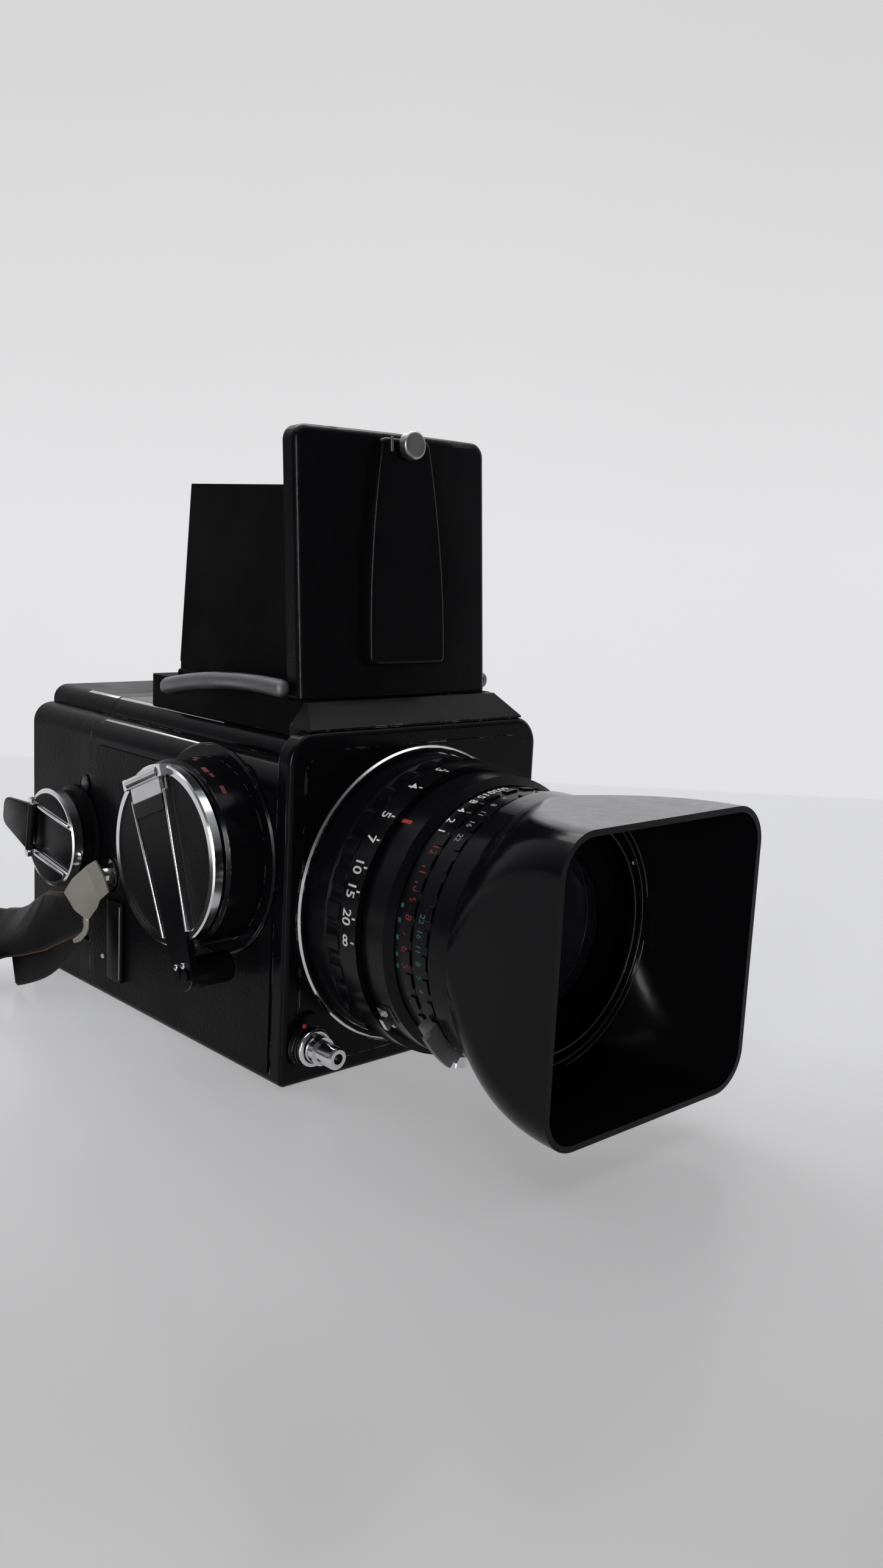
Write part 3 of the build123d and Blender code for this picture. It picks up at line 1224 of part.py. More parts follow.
# Dark slide: a thin plate with a bead and a finger loop outside the magazine
loop_length = 9.0
loop_half = 13.0
with BuildPart() as dark_slide:
    slide_y = slide_slot_y + (slide_slot - slide_thickness) / 2
    with BuildSketch(front_plane(slide_y)):
        with Locations(((body_half_width + 2 - slide_half - 0.5) / 2, lens_axis)):
            Rectangle(body_half_width + 2 + slide_half + 0.5, 2 * slide_half)
    extrude(amount=-slide_thickness)
    with BuildSketch(front_plane(slide_y - 0.7)):
        with Locations((body_half_width + 1.2, lens_axis)):
            RectangleRounded(1.8, 2 * slide_half, 0.8)
        with Locations((body_half_width + 1.2 + loop_length / 2, lens_axis)):
            RectangleRounded(loop_length, 2 * loop_half, 2.5)
        with Locations((body_half_width + 1.2 + loop_length / 2 - 0.2, lens_axis)):
            RectangleRounded(loop_length - 3.2, 2 * loop_half - 3.6, 1.5, mode=Mode.SUBTRACT)
    extrude(amount=-(slide_thickness + 1.4))
dark_slide.part.label = "dark_slide"
export_step(dark_slide.part, "parts/dark_slide.step")

# Latch button that slides along the frame's top
with BuildPart() as magazine_latch:
    with BuildSketch(Plane.XY.offset(deck_z + face_gap)):
        with Locations((0, latch_y)):
            Circle(2.8)
    extrude(amount=2.3)
    fillet(magazine_latch.edges().filter_by(GeomType.CIRCLE).group_by(Axis.Z)[-1], 0.7)
    with BuildSketch(Plane.XY.offset(deck_z - 4.0)):
        with Locations((0, latch_y)):
            Circle(1.2)
    extrude(amount=4.5)
magazine_latch.part.label = "magazine_latch"
export_step(magazine_latch.part, "parts/magazine_latch.step")

# Magazine shell: the rear wall, four sides with a window for the insert, and the winder's fixed drum
spool_y = 67.0
spool_spread = 37.0
spool_radius = 12.55
window_front = magazine_shell_y + 1.1
window_bottom = 13.2
window_top = 79.0
winder_face = 53.3
winder_disc_thickness = 3.3
winder_drum_front = winder_face - winder_disc_thickness - face_gap
winder_drum_back = body_half_width + covering_thickness + running_gap
winder_shaft_radius = 3.0
with BuildPart() as magazine_shell:
    extrude(body_outline(magazine_shell_y), amount=-(magazine_back - magazine_shell_y))
    fillet(magazine_shell.edges().filter_by(Axis.Y).group_by(Axis.Z)[0], bottom_radius)
    fillet(magazine_shell.faces().sort_by(Axis.Y)[-1].edges(), 1.6)
    extrude(body_outline(magazine_shell_y - 1, magazine_wall),
            amount=-(magazine_back - magazine_shell_y + 1 - magazine_wall),
            mode=Mode.SUBTRACT)
    with BuildSketch(side_plane(body_half_width - magazine_wall - 3)):
        with Locations(((window_front + magazine_back - magazine_wall) / 2,
                        (window_bottom + window_top) / 2)):
            Rectangle(magazine_back - magazine_wall - window_front, window_top - window_bottom)
    extrude(amount=magazine_wall + 4, mode=Mode.SUBTRACT)
    add(turned_on_side(winder_y, winder_z, [(-winder_drum_back, 0), (-winder_drum_back, 15.0),
                                            (-winder_drum_back - 0.6, 15.0),
                                            (-winder_drum_back - 1.2, 13.6), (-winder_drum_front, 13.6),
                                            (-winder_drum_front, 0)]))
    with BuildSketch(side_plane(-winder_drum_back - 0.5)):
        with Locations((winder_y, winder_z)):
            Circle(15.0)
        with Locations((magazine_shell_y - 20, winder_z)):
            Rectangle(40, 40, mode=Mode.SUBTRACT)
    extrude(amount=winder_drum_back + 0.5 - body_half_width + 0.5)
    add(along_x(winder_shaft_radius + pin_clearance, winder_y, winder_z, -winder_drum_front - 1,
                -winder_drum_back - 0.3),
        mode=Mode.SUBTRACT)
magazine_shell.part.label = "magazine_shell"
export_step(magazine_shell.part, "parts/magazine_shell.step")

# Film winder: a disc on its shaft, and a tapered tab that folds over the disc's face
winder_frame = Plane(origin=(-winder_face, winder_y, winder_z),
                     x_dir=(0, -sin(radians(winder_tilt)), cos(radians(winder_tilt))), z_dir=(-1, 0, 0))
tab_hinge = 11.0
tab_root = 15.0
tab_tip = 7.5
tab_reach = 17.0
tab_thickness = 1.4
tab_axis = 1.0
with BuildPart() as winder_disc:
    add(turned_on_side(winder_y, winder_z, [
        (-winder_face, 0), (-winder_face, winder_radius - 0.5), (-winder_face + 0.5, winder_radius),
        (-winder_face + winder_disc_thickness, winder_radius),
        (-winder_face + winder_disc_thickness, winder_shaft_radius),
        (-winder_drum_back - 0.6, winder_shaft_radius), (-winder_drum_back - 0.6, 0)]))
    with BuildSketch(winder_frame):
        Circle(winder_radius - 0.4)
        Rectangle(13, 3 * winder_radius, mode=Mode.INTERSECT)
    extrude(amount=-0.8, mode=Mode.SUBTRACT)
    with BuildSketch(winder_frame.offset(-0.9)):
        with Locations((-tab_root / 2 - 1.0, tab_hinge - 1.3), (tab_root / 2 + 1.0, tab_hinge - 1.3)):
            Rectangle(1.4, 2.0)
    extrude(amount=tab_axis + 1.7)
    with BuildSketch(Plane(origin=winder_frame.from_local_coords((-tab_root / 2 - 1.0, tab_hinge - 1.3,
                                                                  tab_axis)),
                           x_dir=winder_frame.y_dir, z_dir=winder_frame.x_dir)):
        Circle(0.5)
    extrude(amount=2.4)
    with BuildSketch(Plane(origin=winder_frame.from_local_coords((tab_root / 2 + 1.0, tab_hinge - 1.3,
                                                                  tab_axis)),
                           x_dir=winder_frame.y_dir, z_dir=winder_frame.x_dir)):
        Circle(0.5)
    extrude(amount=-2.4)
winder_disc.part.label = "winder_disc"
export_step(winder_disc.part, "parts/winder_disc.step")

with BuildPart() as winder_tab:
    with BuildSketch(winder_frame.offset(tab_axis - tab_thickness / 2)):
        with BuildLine():
            Polyline((-tab_tip / 2, tab_hinge - 1.3 + tab_reach), (-tab_root / 2, tab_hinge - 1.3),
                     (tab_root / 2, tab_hinge - 1.3), (tab_tip / 2, tab_hinge - 1.3 + tab_reach))
            Line((tab_tip / 2, tab_hinge - 1.3 + tab_reach), (-tab_tip / 2, tab_hinge - 1.3 + tab_reach))
        make_face()
    extrude(amount=tab_thickness)
    with BuildSketch(Plane(origin=winder_frame.from_local_coords((-tab_root / 2, tab_hinge - 1.3, tab_axis)),
                           x_dir=winder_frame.y_dir, z_dir=winder_frame.x_dir)):
        Circle(0.8)
    extrude(amount=tab_root)
    with BuildSketch(Plane(origin=winder_frame.from_local_coords((-tab_root / 2 - 1, tab_hinge - 1.3,
                                                                  tab_axis)),
                           x_dir=winder_frame.y_dir, z_dir=winder_frame.x_dir)):
        Circle(0.5 + pin_clearance)
    extrude(amount=tab_root + 2, mode=Mode.SUBTRACT)
winder_tab.part.label = "winder_tab"
export_step(winder_tab.part, "parts/winder_tab.step")

# Film insert: an end plate, two side plates with spool pins and rollers, and the pressure plate
side_plate = 33.2
side_plate_thickness = 1.6
insert_front = window_front + 0.2
insert_back = magazine_back - magazine_wall - 0.3
insert_bottom = window_bottom + 0.2
insert_top = window_top - 0.2
pin_reach = 2.6
spool_pin_radius = 2.0
insert_mid = ((insert_front + insert_back) / 2, (insert_bottom + insert_top) / 2)
with BuildPart() as film_insert:
    for x, thickness in ((-side_plate - side_plate_thickness, side_plate_thickness),
                         (side_plate, side_plate_thickness),
                         (body_half_width - magazine_wall, magazine_wall)):
        with BuildSketch(side_plane(x)):
            with Locations(insert_mid):
                Rectangle(insert_back - insert_front, insert_top - insert_bottom)
        extrude(amount=thickness)
    with BuildSketch(side_plane(side_plate + side_plate_thickness)):
        with Locations(insert_mid):
            with GridLocations(19, 55, 2, 2):
                Circle(2.2)
    extrude(amount=body_half_width - magazine_wall - side_plate - side_plate_thickness)
    with BuildSketch(front_plane(insert_front + 0.2)):
        with Locations((0, lens_axis)):
            Rectangle(2 * side_plate + 1, 55)
    extrude(amount=-1.0)
    for side in (-1, 1):
        add(along_x(1.9, insert_front + 2.0, lens_axis + side * 30.2, -side_plate - 0.5, side_plate + 0.5))
        for end in (-1, 1):
            ends = sorted((end * side_plate, end * (side_plate - pin_reach)))
            add(along_x(spool_pin_radius, spool_y, lens_axis + side * spool_spread / 2, ends[0], ends[1]))
    with BuildSketch(side_plane(body_half_width)):
        with Locations((insert_mid[0], lens_axis)):
            Circle(9)
            Circle(7.6, mode=Mode.SUBTRACT)
            with Locations((0, 0)):
                Rectangle(2.0, 16)
    extrude(amount=1.6)
film_insert.part.label = "film_insert"
export_step(film_insert.part, "parts/film_insert.step")

# Two film spools, each a core between flanges, open at both ends for the insert's pins
spool_half = 31.5
for name, side in (("supply_spool", -1), ("takeup_spool", 1)):
    with BuildPart() as spool:
        add(turned_on_side(spool_y, lens_axis + side * spool_spread / 2, [
            (-spool_half, spool_pin_radius + 0.08), (-spool_half, spool_radius),
            (-spool_half + 0.9, spool_radius),
            (-spool_half + 0.9, 5.4), (spool_half - 0.9, 5.4), (spool_half - 0.9, spool_radius),
            (spool_half, spool_radius), (spool_half, spool_pin_radius + 0.08),
            (spool_half - 6, spool_pin_radius + 0.08), (spool_half - 6, 4.2),
            (-spool_half + 6, 4.2), (-spool_half + 6, spool_pin_radius + 0.08)]))
    spool.part.label = name
    export_step(spool.part, f"parts/{name}.step")

# Neck strap: one flat leather band on its edge, from its clip down to the table and into a neat roll
strap_width = 20.0
strap_thickness = 2.4
tip_bottom_z = 20.0
tip_top_z = 27.7
strap_start = (-body_half_width - 7.0, front_y + lug_depth + 3.2)
run_bend = (strap_start[0], strap_start[1] + 21.5)
run_landing = (strap_start[0] - 9.5, strap_start[1] + 37.5)
run_end = (strap_start[0] - 15.5, strap_start[1] + 56.5)
roll_radius = 48.0
roll_half_pitch = 3.6
roll_half_turns = 9
heading = atan2(run_end[1] - run_landing[1], run_end[0] - run_landing[0])
roll_start = heading - pi / 2
roll_centre = (run_end[0] - roll_radius * cos(roll_start), run_end[1] - roll_radius * sin(roll_start))


def corner_arc(before, corner, after):
    """Ends of the arc at a corner, 0.45 of the shorter run away from it on either side."""
    first = hypot(corner[0] - before[0], corner[1] - before[1])
    second = hypot(after[0] - corner[0], after[1] - corner[1])
    reach = 0.45 * min(first, second)
    start = tuple(corner[i] + (before[i] - corner[i]) * reach / first for i in (0, 1))
    end = tuple(corner[i] + (after[i] - corner[i]) * reach / second for i in (0, 1))
    return start, end


with BuildPart() as strap_run:
    bend_start, bend_end = corner_arc(strap_start, run_bend, run_landing)
    landing_start, landing_end = corner_arc(run_bend, run_landing, run_end)
    with BuildSketch():
        with BuildLine():
            Line(strap_start, bend_start)
            TangentArc(bend_start, bend_end, tangent=(run_bend[0] - strap_start[0], run_bend[1]
                                                      - strap_start[1]))
            Line(bend_end, landing_start)
            TangentArc(landing_start, landing_end,
                       tangent=(run_landing[0] - run_bend[0], run_landing[1] - run_bend[1]))
            Line(landing_end, run_end)
        trace(line_width=strap_thickness)
    extrude(amount=40)
    touch_y = strap_start[1] + 27.5
    level_y = strap_start[1] + 43.5
    with BuildSketch(side_plane(run_end[0] - 24)):
        with BuildLine():
            Polyline((level_y, strap_width), (run_end[1] + 3, strap_width), (run_end[1] + 3, 0), (touch_y, 0))
            ThreePointArc((touch_y, 0), (touch_y - 14, 8.8), (strap_start[1] - 1, tip_bottom_z))
            Line((strap_start[1] - 1, tip_bottom_z), (strap_start[1] - 1, tip_top_z))
            ThreePointArc((strap_start[1] - 1, tip_top_z), (level_y - 22, 22.4), (level_y, strap_width))
        make_face()
    extrude(amount=60, mode=Mode.INTERSECT)
strap_run.part.label = "strap_run"
export_step(strap_run.part, "parts/strap_run.step")


def roll_turns():
    """Half turns of the roll's mid-line, outside in: (centre, radius, start angle)."""
    turns = []
    centre = roll_centre
    angle = roll_start
    for index in range(roll_half_turns):
        turns.append((centre, roll_radius - index * roll_half_pitch, angle))
        angle += pi
        centre = (centre[0] + roll_half_pitch * cos(angle), centre[1] + roll_half_pitch * sin(angle))
    return turns


def roll_side(offset):
    """Edges of the roll's outline beside its mid-line."""
    for centre, radius, angle in roll_turns():
        CenterArc(centre, radius + offset, degrees(angle), 180)


def roll_point(centre, radius, angle):
    return centre[0] + radius * cos(angle), centre[1] + radius * sin(angle)


last_centre, last_radius, last_angle = roll_turns()[-1]
roll_end = roll_point(last_centre, last_radius, last_angle + pi)
with BuildPart() as strap_roll:
    with BuildSketch():
        with BuildLine():
            roll_side(strap_thickness / 2)
            roll_side(-strap_thickness / 2)
            for centre, radius, angle in ((roll_centre, roll_radius, roll_start),
                                          (last_centre, last_radius, last_angle + pi)):
                Line(roll_point(centre, radius - strap_thickness / 2, angle),
                     roll_point(centre, radius + strap_thickness / 2, angle))
        make_face()
    extrude(amount=strap_width)
strap_roll.part.label = "strap_roll"
export_step(strap_roll.part, "parts/strap_roll.step")

# Least gap of the roll to itself, measured between points on its mid-line that are far apart along it
points_per_turn = 36
mid_points = [(index * pi / points_per_turn * radius, roll_point(centre, radius, angle
                                                                 + index * pi / points_per_turn))
              for centre, radius, angle in roll_turns() for index in range(points_per_turn)]
travelled = []
distance = 0.0
for index, (step, point) in enumerate(mid_points):
    if index:
        distance += hypot(point[0] - mid_points[index - 1][1][0], point[1] - mid_points[index - 1][1][1])
    travelled.append(distance)
least = min(hypot(mid_points[i][1][0] - mid_points[j][1][0], mid_points[i][1][1] - mid_points[j][1][1])
            for i in range(len(mid_points)) for j in range(i) if travelled[i] - travelled[j] > 30)
run_length = (hypot(run_bend[0] - strap_start[0], run_bend[1] - strap_start[1])
              + hypot(run_landing[0] - run_bend[0], run_landing[1] - run_bend[1])
              + hypot(run_end[0] - run_landing[0], run_end[1] - run_landing[1]))
roll_length = sum(pi * radius for _, radius, _ in roll_turns())
print("roll least gap to itself, mm:", round(least - strap_thickness, 2))
print("strap length, mm:", round(run_length + roll_length))

# Strap clips: one hangs from the lug's stem and holds the band's narrow end, the other ends the roll
clip_plate_x = -body_half_width - 3.4
clip_plate_thickness = 1.2
tail_length = 3.4
clip_block = 5.4
hole_clearance = 0.15
end_angle = last_angle + 1.5 * pi
end_plane = Plane(origin=(roll_end[0], roll_end[1], 0), x_dir=(0, 0, 1),
                  z_dir=(cos(end_angle), sin(end_angle), 0))
plate_angle = end_angle + radians(55)
plate_plane = Plane(origin=end_plane.from_local_coords((0, -1.2, 1.2)),
                    x_dir=(cos(plate_angle), sin(plate_angle), 0),
                    z_dir=(sin(plate_angle), -cos(plate_angle), 0))
with BuildPart() as strap_clips:
    with BuildSketch(side_plane(clip_plate_x)):
        with Locations((front_y + lug_depth, lug_z)):
            Circle(6.0)
        Polygon((front_y + lug_depth - 4.2, lug_z - 3), (front_y + lug_depth + 5.6, lug_z - 1),
                (strap_start[1], tip_top_z + 1.0), (strap_start[1], tip_bottom_z - 1.0),
                (strap_start[1] - 6.5, tip_bottom_z + 1.0), align=None)
        with Locations((front_y + lug_depth, lug_z)):
            Circle(lug_stem_radius + hole_clearance, mode=Mode.SUBTRACT)
    extrude(amount=clip_plate_thickness)
    with BuildSketch(front_plane(strap_start[1])):
        with Locations(((clip_plate_x + strap_start[0] - strap_thickness) / 2,
                        (tip_bottom_z + tip_top_z) / 2)):
            RectangleRounded(clip_plate_x - strap_start[0] + strap_thickness, tip_top_z - tip_bottom_z + 2,
                             0.8)
    extrude(amount=tail_length)
    with BuildSketch(end_plane):
        with Locations((strap_width / 2, -0.9)):
            RectangleRounded(10, clip_block - 1.4, 0.8)
    extrude(amount=tail_length)
    with BuildSketch(plate_plane.offset(-0.6)):
        with Locations((6.0, strap_width / 2)):
            RectangleRounded(12, 9, 3)
            with Locations((1, 0)):
                Circle(lug_stem_radius + hole_clearance, mode=Mode.SUBTRACT)
    extrude(amount=clip_plate_thickness)
strap_clips.part.label = "strap_clips"
export_step(strap_clips.part, "parts/strap_clips.step")
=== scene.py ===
from math import atan2, cos, pi, radians, sin

import bmesh
import bpy
from mathutils import Matrix, Vector


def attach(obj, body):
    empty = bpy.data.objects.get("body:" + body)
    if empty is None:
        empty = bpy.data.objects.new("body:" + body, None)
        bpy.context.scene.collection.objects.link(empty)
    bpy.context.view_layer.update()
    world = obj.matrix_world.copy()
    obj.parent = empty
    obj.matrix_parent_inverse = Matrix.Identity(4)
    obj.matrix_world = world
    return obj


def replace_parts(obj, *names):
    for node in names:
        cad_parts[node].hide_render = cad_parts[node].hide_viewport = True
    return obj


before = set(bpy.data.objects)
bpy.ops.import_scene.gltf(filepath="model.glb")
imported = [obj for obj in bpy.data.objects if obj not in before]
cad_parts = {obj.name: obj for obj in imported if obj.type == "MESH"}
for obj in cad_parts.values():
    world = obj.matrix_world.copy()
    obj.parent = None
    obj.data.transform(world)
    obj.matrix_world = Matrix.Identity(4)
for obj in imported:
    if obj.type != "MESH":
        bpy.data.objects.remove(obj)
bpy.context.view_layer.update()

# Lengths below are in millimetres, and this turns them into metres
MM = 0.001

# Places and radii of the camera, as the solids have them: the lens axis, the front, the sides and the rings
LENS_Z = 46.6
FRONT_Y = -52.6
SIDE_X = -44.0
MAGAZINE_SIDE_X = -43.5
FOCUS_RADIUS = 38.3
SHUTTER_RADIUS = 34.0
INDEX_RADIUS = 36.5
# Dust and a painted reflection lighten upward faces above this height, fading in over the next length
DUST_AND_SHEEN_FROM_Z = 60.0
DUST_AND_SHEEN_FADE = 5.0
PAINT_RIPPLE_DEPTH = 0.05
BRUSHING_DEPTH = 0.02

# Crank: its axis, its drum, and the direction from the axis up to the arm's hinge, 22 degrees off upright
CRANK_Y = -20.0
CRANK_Z = 57.7
CRANK_FLOOR_X = -57.6
DRUM_RADIUS = 24.4
HINGE_UP = (0.0, 0.37461, 0.92718)
HINGE_BARE_FROM = CRANK_Y * HINGE_UP[1] + CRANK_Z * HINGE_UP[2] + 15.0

# Winder: the middle of its face, and the directions across its tab and out to the tab's hinge, which points
# backwards and 9 degrees upwards
WINDER_CENTRE = (-53.3, 52.3, 47.7)
WINDER_ACROSS = (0.0, -0.15643, 0.98769)
WINDER_UP = (0.0, 0.98769, 0.15643)


# Materials: each has its own colour, grain, gloss and wear from nodes
SCUFF_BROWN = (0.10, 0.085, 0.07)
BLACK_ENAMEL = (0.012, 0.012, 0.013)
EDGE_CONTRAST = 6.0
SCUFF_RADIUS = 0.7
# Grain: how strongly its cells wander and stand out, and the share of the fine noise in their height
CELL_WANDER = 0.6
CELL_RELIEF = 0.6
FINE_SHARE = 0.15


def shader_tree(name):
    """New material with its node tree, shader and object coordinates."""
    material = bpy.data.materials.new(name)
    material.use_nodes = True
    tree = material.node_tree
    shader = tree.nodes["Principled BSDF"]
    coordinates = tree.nodes.new("ShaderNodeTexCoord").outputs["Object"]
    return material, tree, shader, coordinates


def noise(tree, coordinates, scale, detail=4.0, roughness=0.55):
    """Value of a noise texture."""
    node = tree.nodes.new("ShaderNodeTexNoise")
    node.inputs["Scale"].default_value = scale
    node.inputs["Detail"].default_value = detail
    node.inputs["Roughness"].default_value = roughness
    tree.links.new(coordinates, node.inputs["Vector"])
    return node.outputs["Fac"]


def spread(tree, value, low, high, start=0.3, stop=0.7):
    """A value from start to stop, stretched to a range from low to high."""
    node = tree.nodes.new("ShaderNodeMapRange")
    node.inputs["From Min"].default_value = start
    node.inputs["From Max"].default_value = stop
    node.inputs["To Min"].default_value = low
    node.inputs["To Max"].default_value = high
    tree.links.new(value, node.inputs["Value"])
    return node.outputs["Result"]


def maths(tree, operation, first, second):
    """One arithmetic step; the second term is a number or a value."""
    node = tree.nodes.new("ShaderNodeMath")
    node.operation = operation
    tree.links.new(first, node.inputs[0])
    if isinstance(second, (int, float)):
        node.inputs[1].default_value = second
    else:
        tree.links.new(second, node.inputs[1])
    return node.outputs["Value"]


def mix_colours(tree, factor, first, second):
    """Two colours mixed by a factor."""
    node = tree.nodes.new("ShaderNodeMix")
    node.data_type = "RGBA"
    tree.links.new(factor, node.inputs["Factor"])
    for socket, colour in ((node.inputs["A"], first), (node.inputs["B"], second)):
        if isinstance(colour, tuple):
            socket.default_value = (*colour, 1.0)
        else:
            tree.links.new(colour, socket)
    return node.outputs["Result"]


def bump(tree, shader, height, strength, depth):
    """Bump on a shader from a height."""
    node = tree.nodes.new("ShaderNodeBump")
    node.inputs["Strength"].default_value = strength
    node.inputs["Distance"].default_value = depth * MM
    tree.links.new(height, node.inputs["Height"])
    tree.links.new(node.outputs["Normal"], shader.inputs["Normal"])
    return node


def edge_wear(tree, coordinates, radius, amount):
    """Mask of rubbed edges: where the rounded normal leaves the true one, broken up by noise."""
    rounded = tree.nodes.new("ShaderNodeBevel")
    rounded.samples = 6
    rounded.inputs["Radius"].default_value = radius * MM
    geometry = tree.nodes.new("ShaderNodeNewGeometry")
    product = tree.nodes.new("ShaderNodeVectorMath")
    product.operation = "DOT_PRODUCT"
    tree.links.new(rounded.outputs["Normal"], product.inputs[0])
    tree.links.new(geometry.outputs["Normal"], product.inputs[1])
    leaving = maths(tree, "SUBTRACT", product.outputs["Value"], 1.0)
    turned = maths(tree, "MULTIPLY", leaving, -EDGE_CONTRAST)
    speckle = noise(tree, coordinates, scale=160.0, detail=6.0, roughness=0.7)
    patches = spread(tree, speckle, 0.0, 1.0, start=0.62 - amount, stop=0.72 - amount)
    both = maths(tree, "MULTIPLY", turned, patches)
    both.node.use_clamp = True
    return both


def shaded(colour, share):
    """A colour darkened to a share of itself."""
    return tuple(share * part for part in colour)


def painted(name, colour, roughness, wear_colour=(0.42, 0.38, 0.32), wear=0.1, wear_radius=0.35,
            ripple=0.15, shine=0.4, dust_and_sheen=0.0):
    """Enamel or anodising over metal, rubbed through at its edges. Dust and a painted reflection of the
    bright room, one grey level, lie where its faces look up above a height."""
    material, tree, shader, coordinates = shader_tree(name)
    mask = edge_wear(tree, coordinates, wear_radius, wear)
    haze = spread(tree, noise(tree, coordinates, scale=45.0), 0.75, 1.3)
    tint = mix_colours(tree, haze, shaded(colour, 0.7), colour)
    # Dust and painted reflection: upward faces above a height turn towards one grey level
    if dust_and_sheen:
        normal = tree.nodes.new("ShaderNodeSeparateXYZ")
        tree.links.new(coordinates.node.outputs["Normal"], normal.inputs["Vector"])
        looks_up = spread(tree, normal.outputs["Z"], 0.0, 1.0, start=0.9, stop=0.985)
        grains = spread(tree, noise(tree, coordinates, scale=260.0, detail=8.0, roughness=0.75), 0.6, 1.0)
        place = tree.nodes.new("ShaderNodeSeparateXYZ")
        tree.links.new(coordinates, place.inputs["Vector"])
        high = spread(tree, place.outputs["Z"], 0.0, 1.0, DUST_AND_SHEEN_FROM_Z * MM, (DUST_AND_SHEEN_FROM_Z + DUST_AND_SHEEN_FADE) * MM)
        dust_and_sheen_mask = maths(tree, "MULTIPLY", maths(tree, "MULTIPLY", looks_up, grains), high)
        tint = mix_colours(tree, dust_and_sheen_mask, tint, (dust_and_sheen, dust_and_sheen, 1.02 * dust_and_sheen))
    tree.links.new(mix_colours(tree, mask, tint, wear_colour), shader.inputs["Base Color"])
    smears = noise(tree, coordinates, scale=28.0, detail=6.0, roughness=0.65)
    tree.links.new(spread(tree, smears, roughness * 0.75, roughness * 1.3), shader.inputs["Roughness"])
    tree.links.new(mask, shader.inputs["Metallic"])
    shader.inputs["Specular IOR Level"].default_value = shine
    bump(tree, shader, noise(tree, coordinates, scale=900.0, detail=3.0), ripple, PAINT_RIPPLE_DEPTH)
    return material


def grained(name, colour, roughness, scale, depth, sheen=0.0, wear=0.0, shine=0.3):
    """Leather or leatherette: pebbled cells with creases between them, scuffed brown at worn edges."""
    material, tree, shader, coordinates = shader_tree(name)
    cells = tree.nodes.new("ShaderNodeTexVoronoi")
    cells.feature = "SMOOTH_F1"
    cells.inputs["Scale"].default_value = scale
    cells.inputs["Smoothness"].default_value = 0.6
    bent = tree.nodes.new("ShaderNodeVectorMath")
    bent.operation = "ADD"
    shift = tree.nodes.new("ShaderNodeTexNoise")
    shift.inputs["Scale"].default_value = scale * 0.35
    small = tree.nodes.new("ShaderNodeVectorMath")
    small.operation = "SCALE"
    small.inputs["Scale"].default_value = CELL_WANDER / scale
    tree.links.new(coordinates, shift.inputs["Vector"])
    tree.links.new(shift.outputs["Color"], small.inputs[0])
    tree.links.new(coordinates, bent.inputs[0])
    tree.links.new(small.outputs["Vector"], bent.inputs[1])
    tree.links.new(bent.outputs["Vector"], cells.inputs["Vector"])
    height = maths(tree, "MULTIPLY", cells.outputs["Distance"], -1.0)
    fine = maths(tree, "MULTIPLY", noise(tree, coordinates, scale * 5.0), FINE_SHARE)
    bump(tree, shader, maths(tree, "ADD", height, fine), CELL_RELIEF, depth)
    haze = spread(tree, noise(tree, coordinates, scale=30.0), 0.0, 1.0)
    tint = mix_colours(tree, haze, shaded(colour, 0.75), colour)
    if wear:
        mask = edge_wear(tree, coordinates, SCUFF_RADIUS, wear)
        tint = mix_colours(tree, mask, tint, SCUFF_BROWN)
    tree.links.new(tint, shader.inputs["Base Color"])
    patches = noise(tree, coordinates, scale=60.0)
    tree.links.new(spread(tree, patches, roughness * 0.8, roughness * 1.2), shader.inputs["Roughness"])
    shader.inputs["Specular IOR Level"].default_value = shine
    if sheen:
        shader.inputs["Sheen Weight"].default_value = sheen
    return material


def metal(name, colour, roughness, brushed=0.0, spots=0.15, painted_below=None):
    """Bare or plated metal with fine brushing and tarnish spots. Painted below: the part of it that lies
    below a place along a direction is enamelled black."""
    material, tree, shader, coordinates = shader_tree(name)
    stains = noise(tree, coordinates, scale=130.0, detail=6.0, roughness=0.7)
    tarnish = spread(tree, stains, 0.0, spots, start=0.5, stop=0.8)
    surface = mix_colours(tree, tarnish, colour, shaded(colour, 0.35))
    if painted_below:
        upward, place = painted_below
        height = tree.nodes.new("ShaderNodeVectorMath")
        height.operation = "DOT_PRODUCT"
        height.inputs[1].default_value = upward
        tree.links.new(coordinates, height.inputs[0])
        bare = spread(tree, height.outputs["Value"], 0.0, 1.0, (place - 0.15) * MM, (place + 0.15) * MM)
        surface = mix_colours(tree, bare, BLACK_ENAMEL, surface)
    tree.links.new(surface, shader.inputs["Base Color"])
    shader.inputs["Metallic"].default_value = 1.0
    patches = noise(tree, coordinates, scale=70.0)
    tree.links.new(spread(tree, patches, roughness * 0.7, roughness * 1.5), shader.inputs["Roughness"])
    if brushed:
        stretched = tree.nodes.new("ShaderNodeMapping")
        stretched.inputs["Scale"].default_value = (1.0, 1.0, 18.0)
        tree.links.new(coordinates, stretched.inputs["Vector"])
        lines = noise(tree, stretched.outputs["Vector"], scale=700.0, detail=2.0)
        bump(tree, shader, lines, brushed, BRUSHING_DEPTH)
    return material


def paint_mark(name, colour):
    """Engraving filled with paint, slightly uneven."""
    material, tree, shader, coordinates = shader_tree(name)
    faded = spread(tree, noise(tree, coordinates, scale=500.0), 0.0, 1.0, start=0.3, stop=0.75)
    tree.links.new(mix_colours(tree, faded, colour, shaded(colour, 0.55)), shader.inputs["Base Color"])
    tree.links.new(spread(tree, noise(tree, coordinates, scale=300.0), 0.45, 0.7), shader.inputs["Roughness"])
    return material


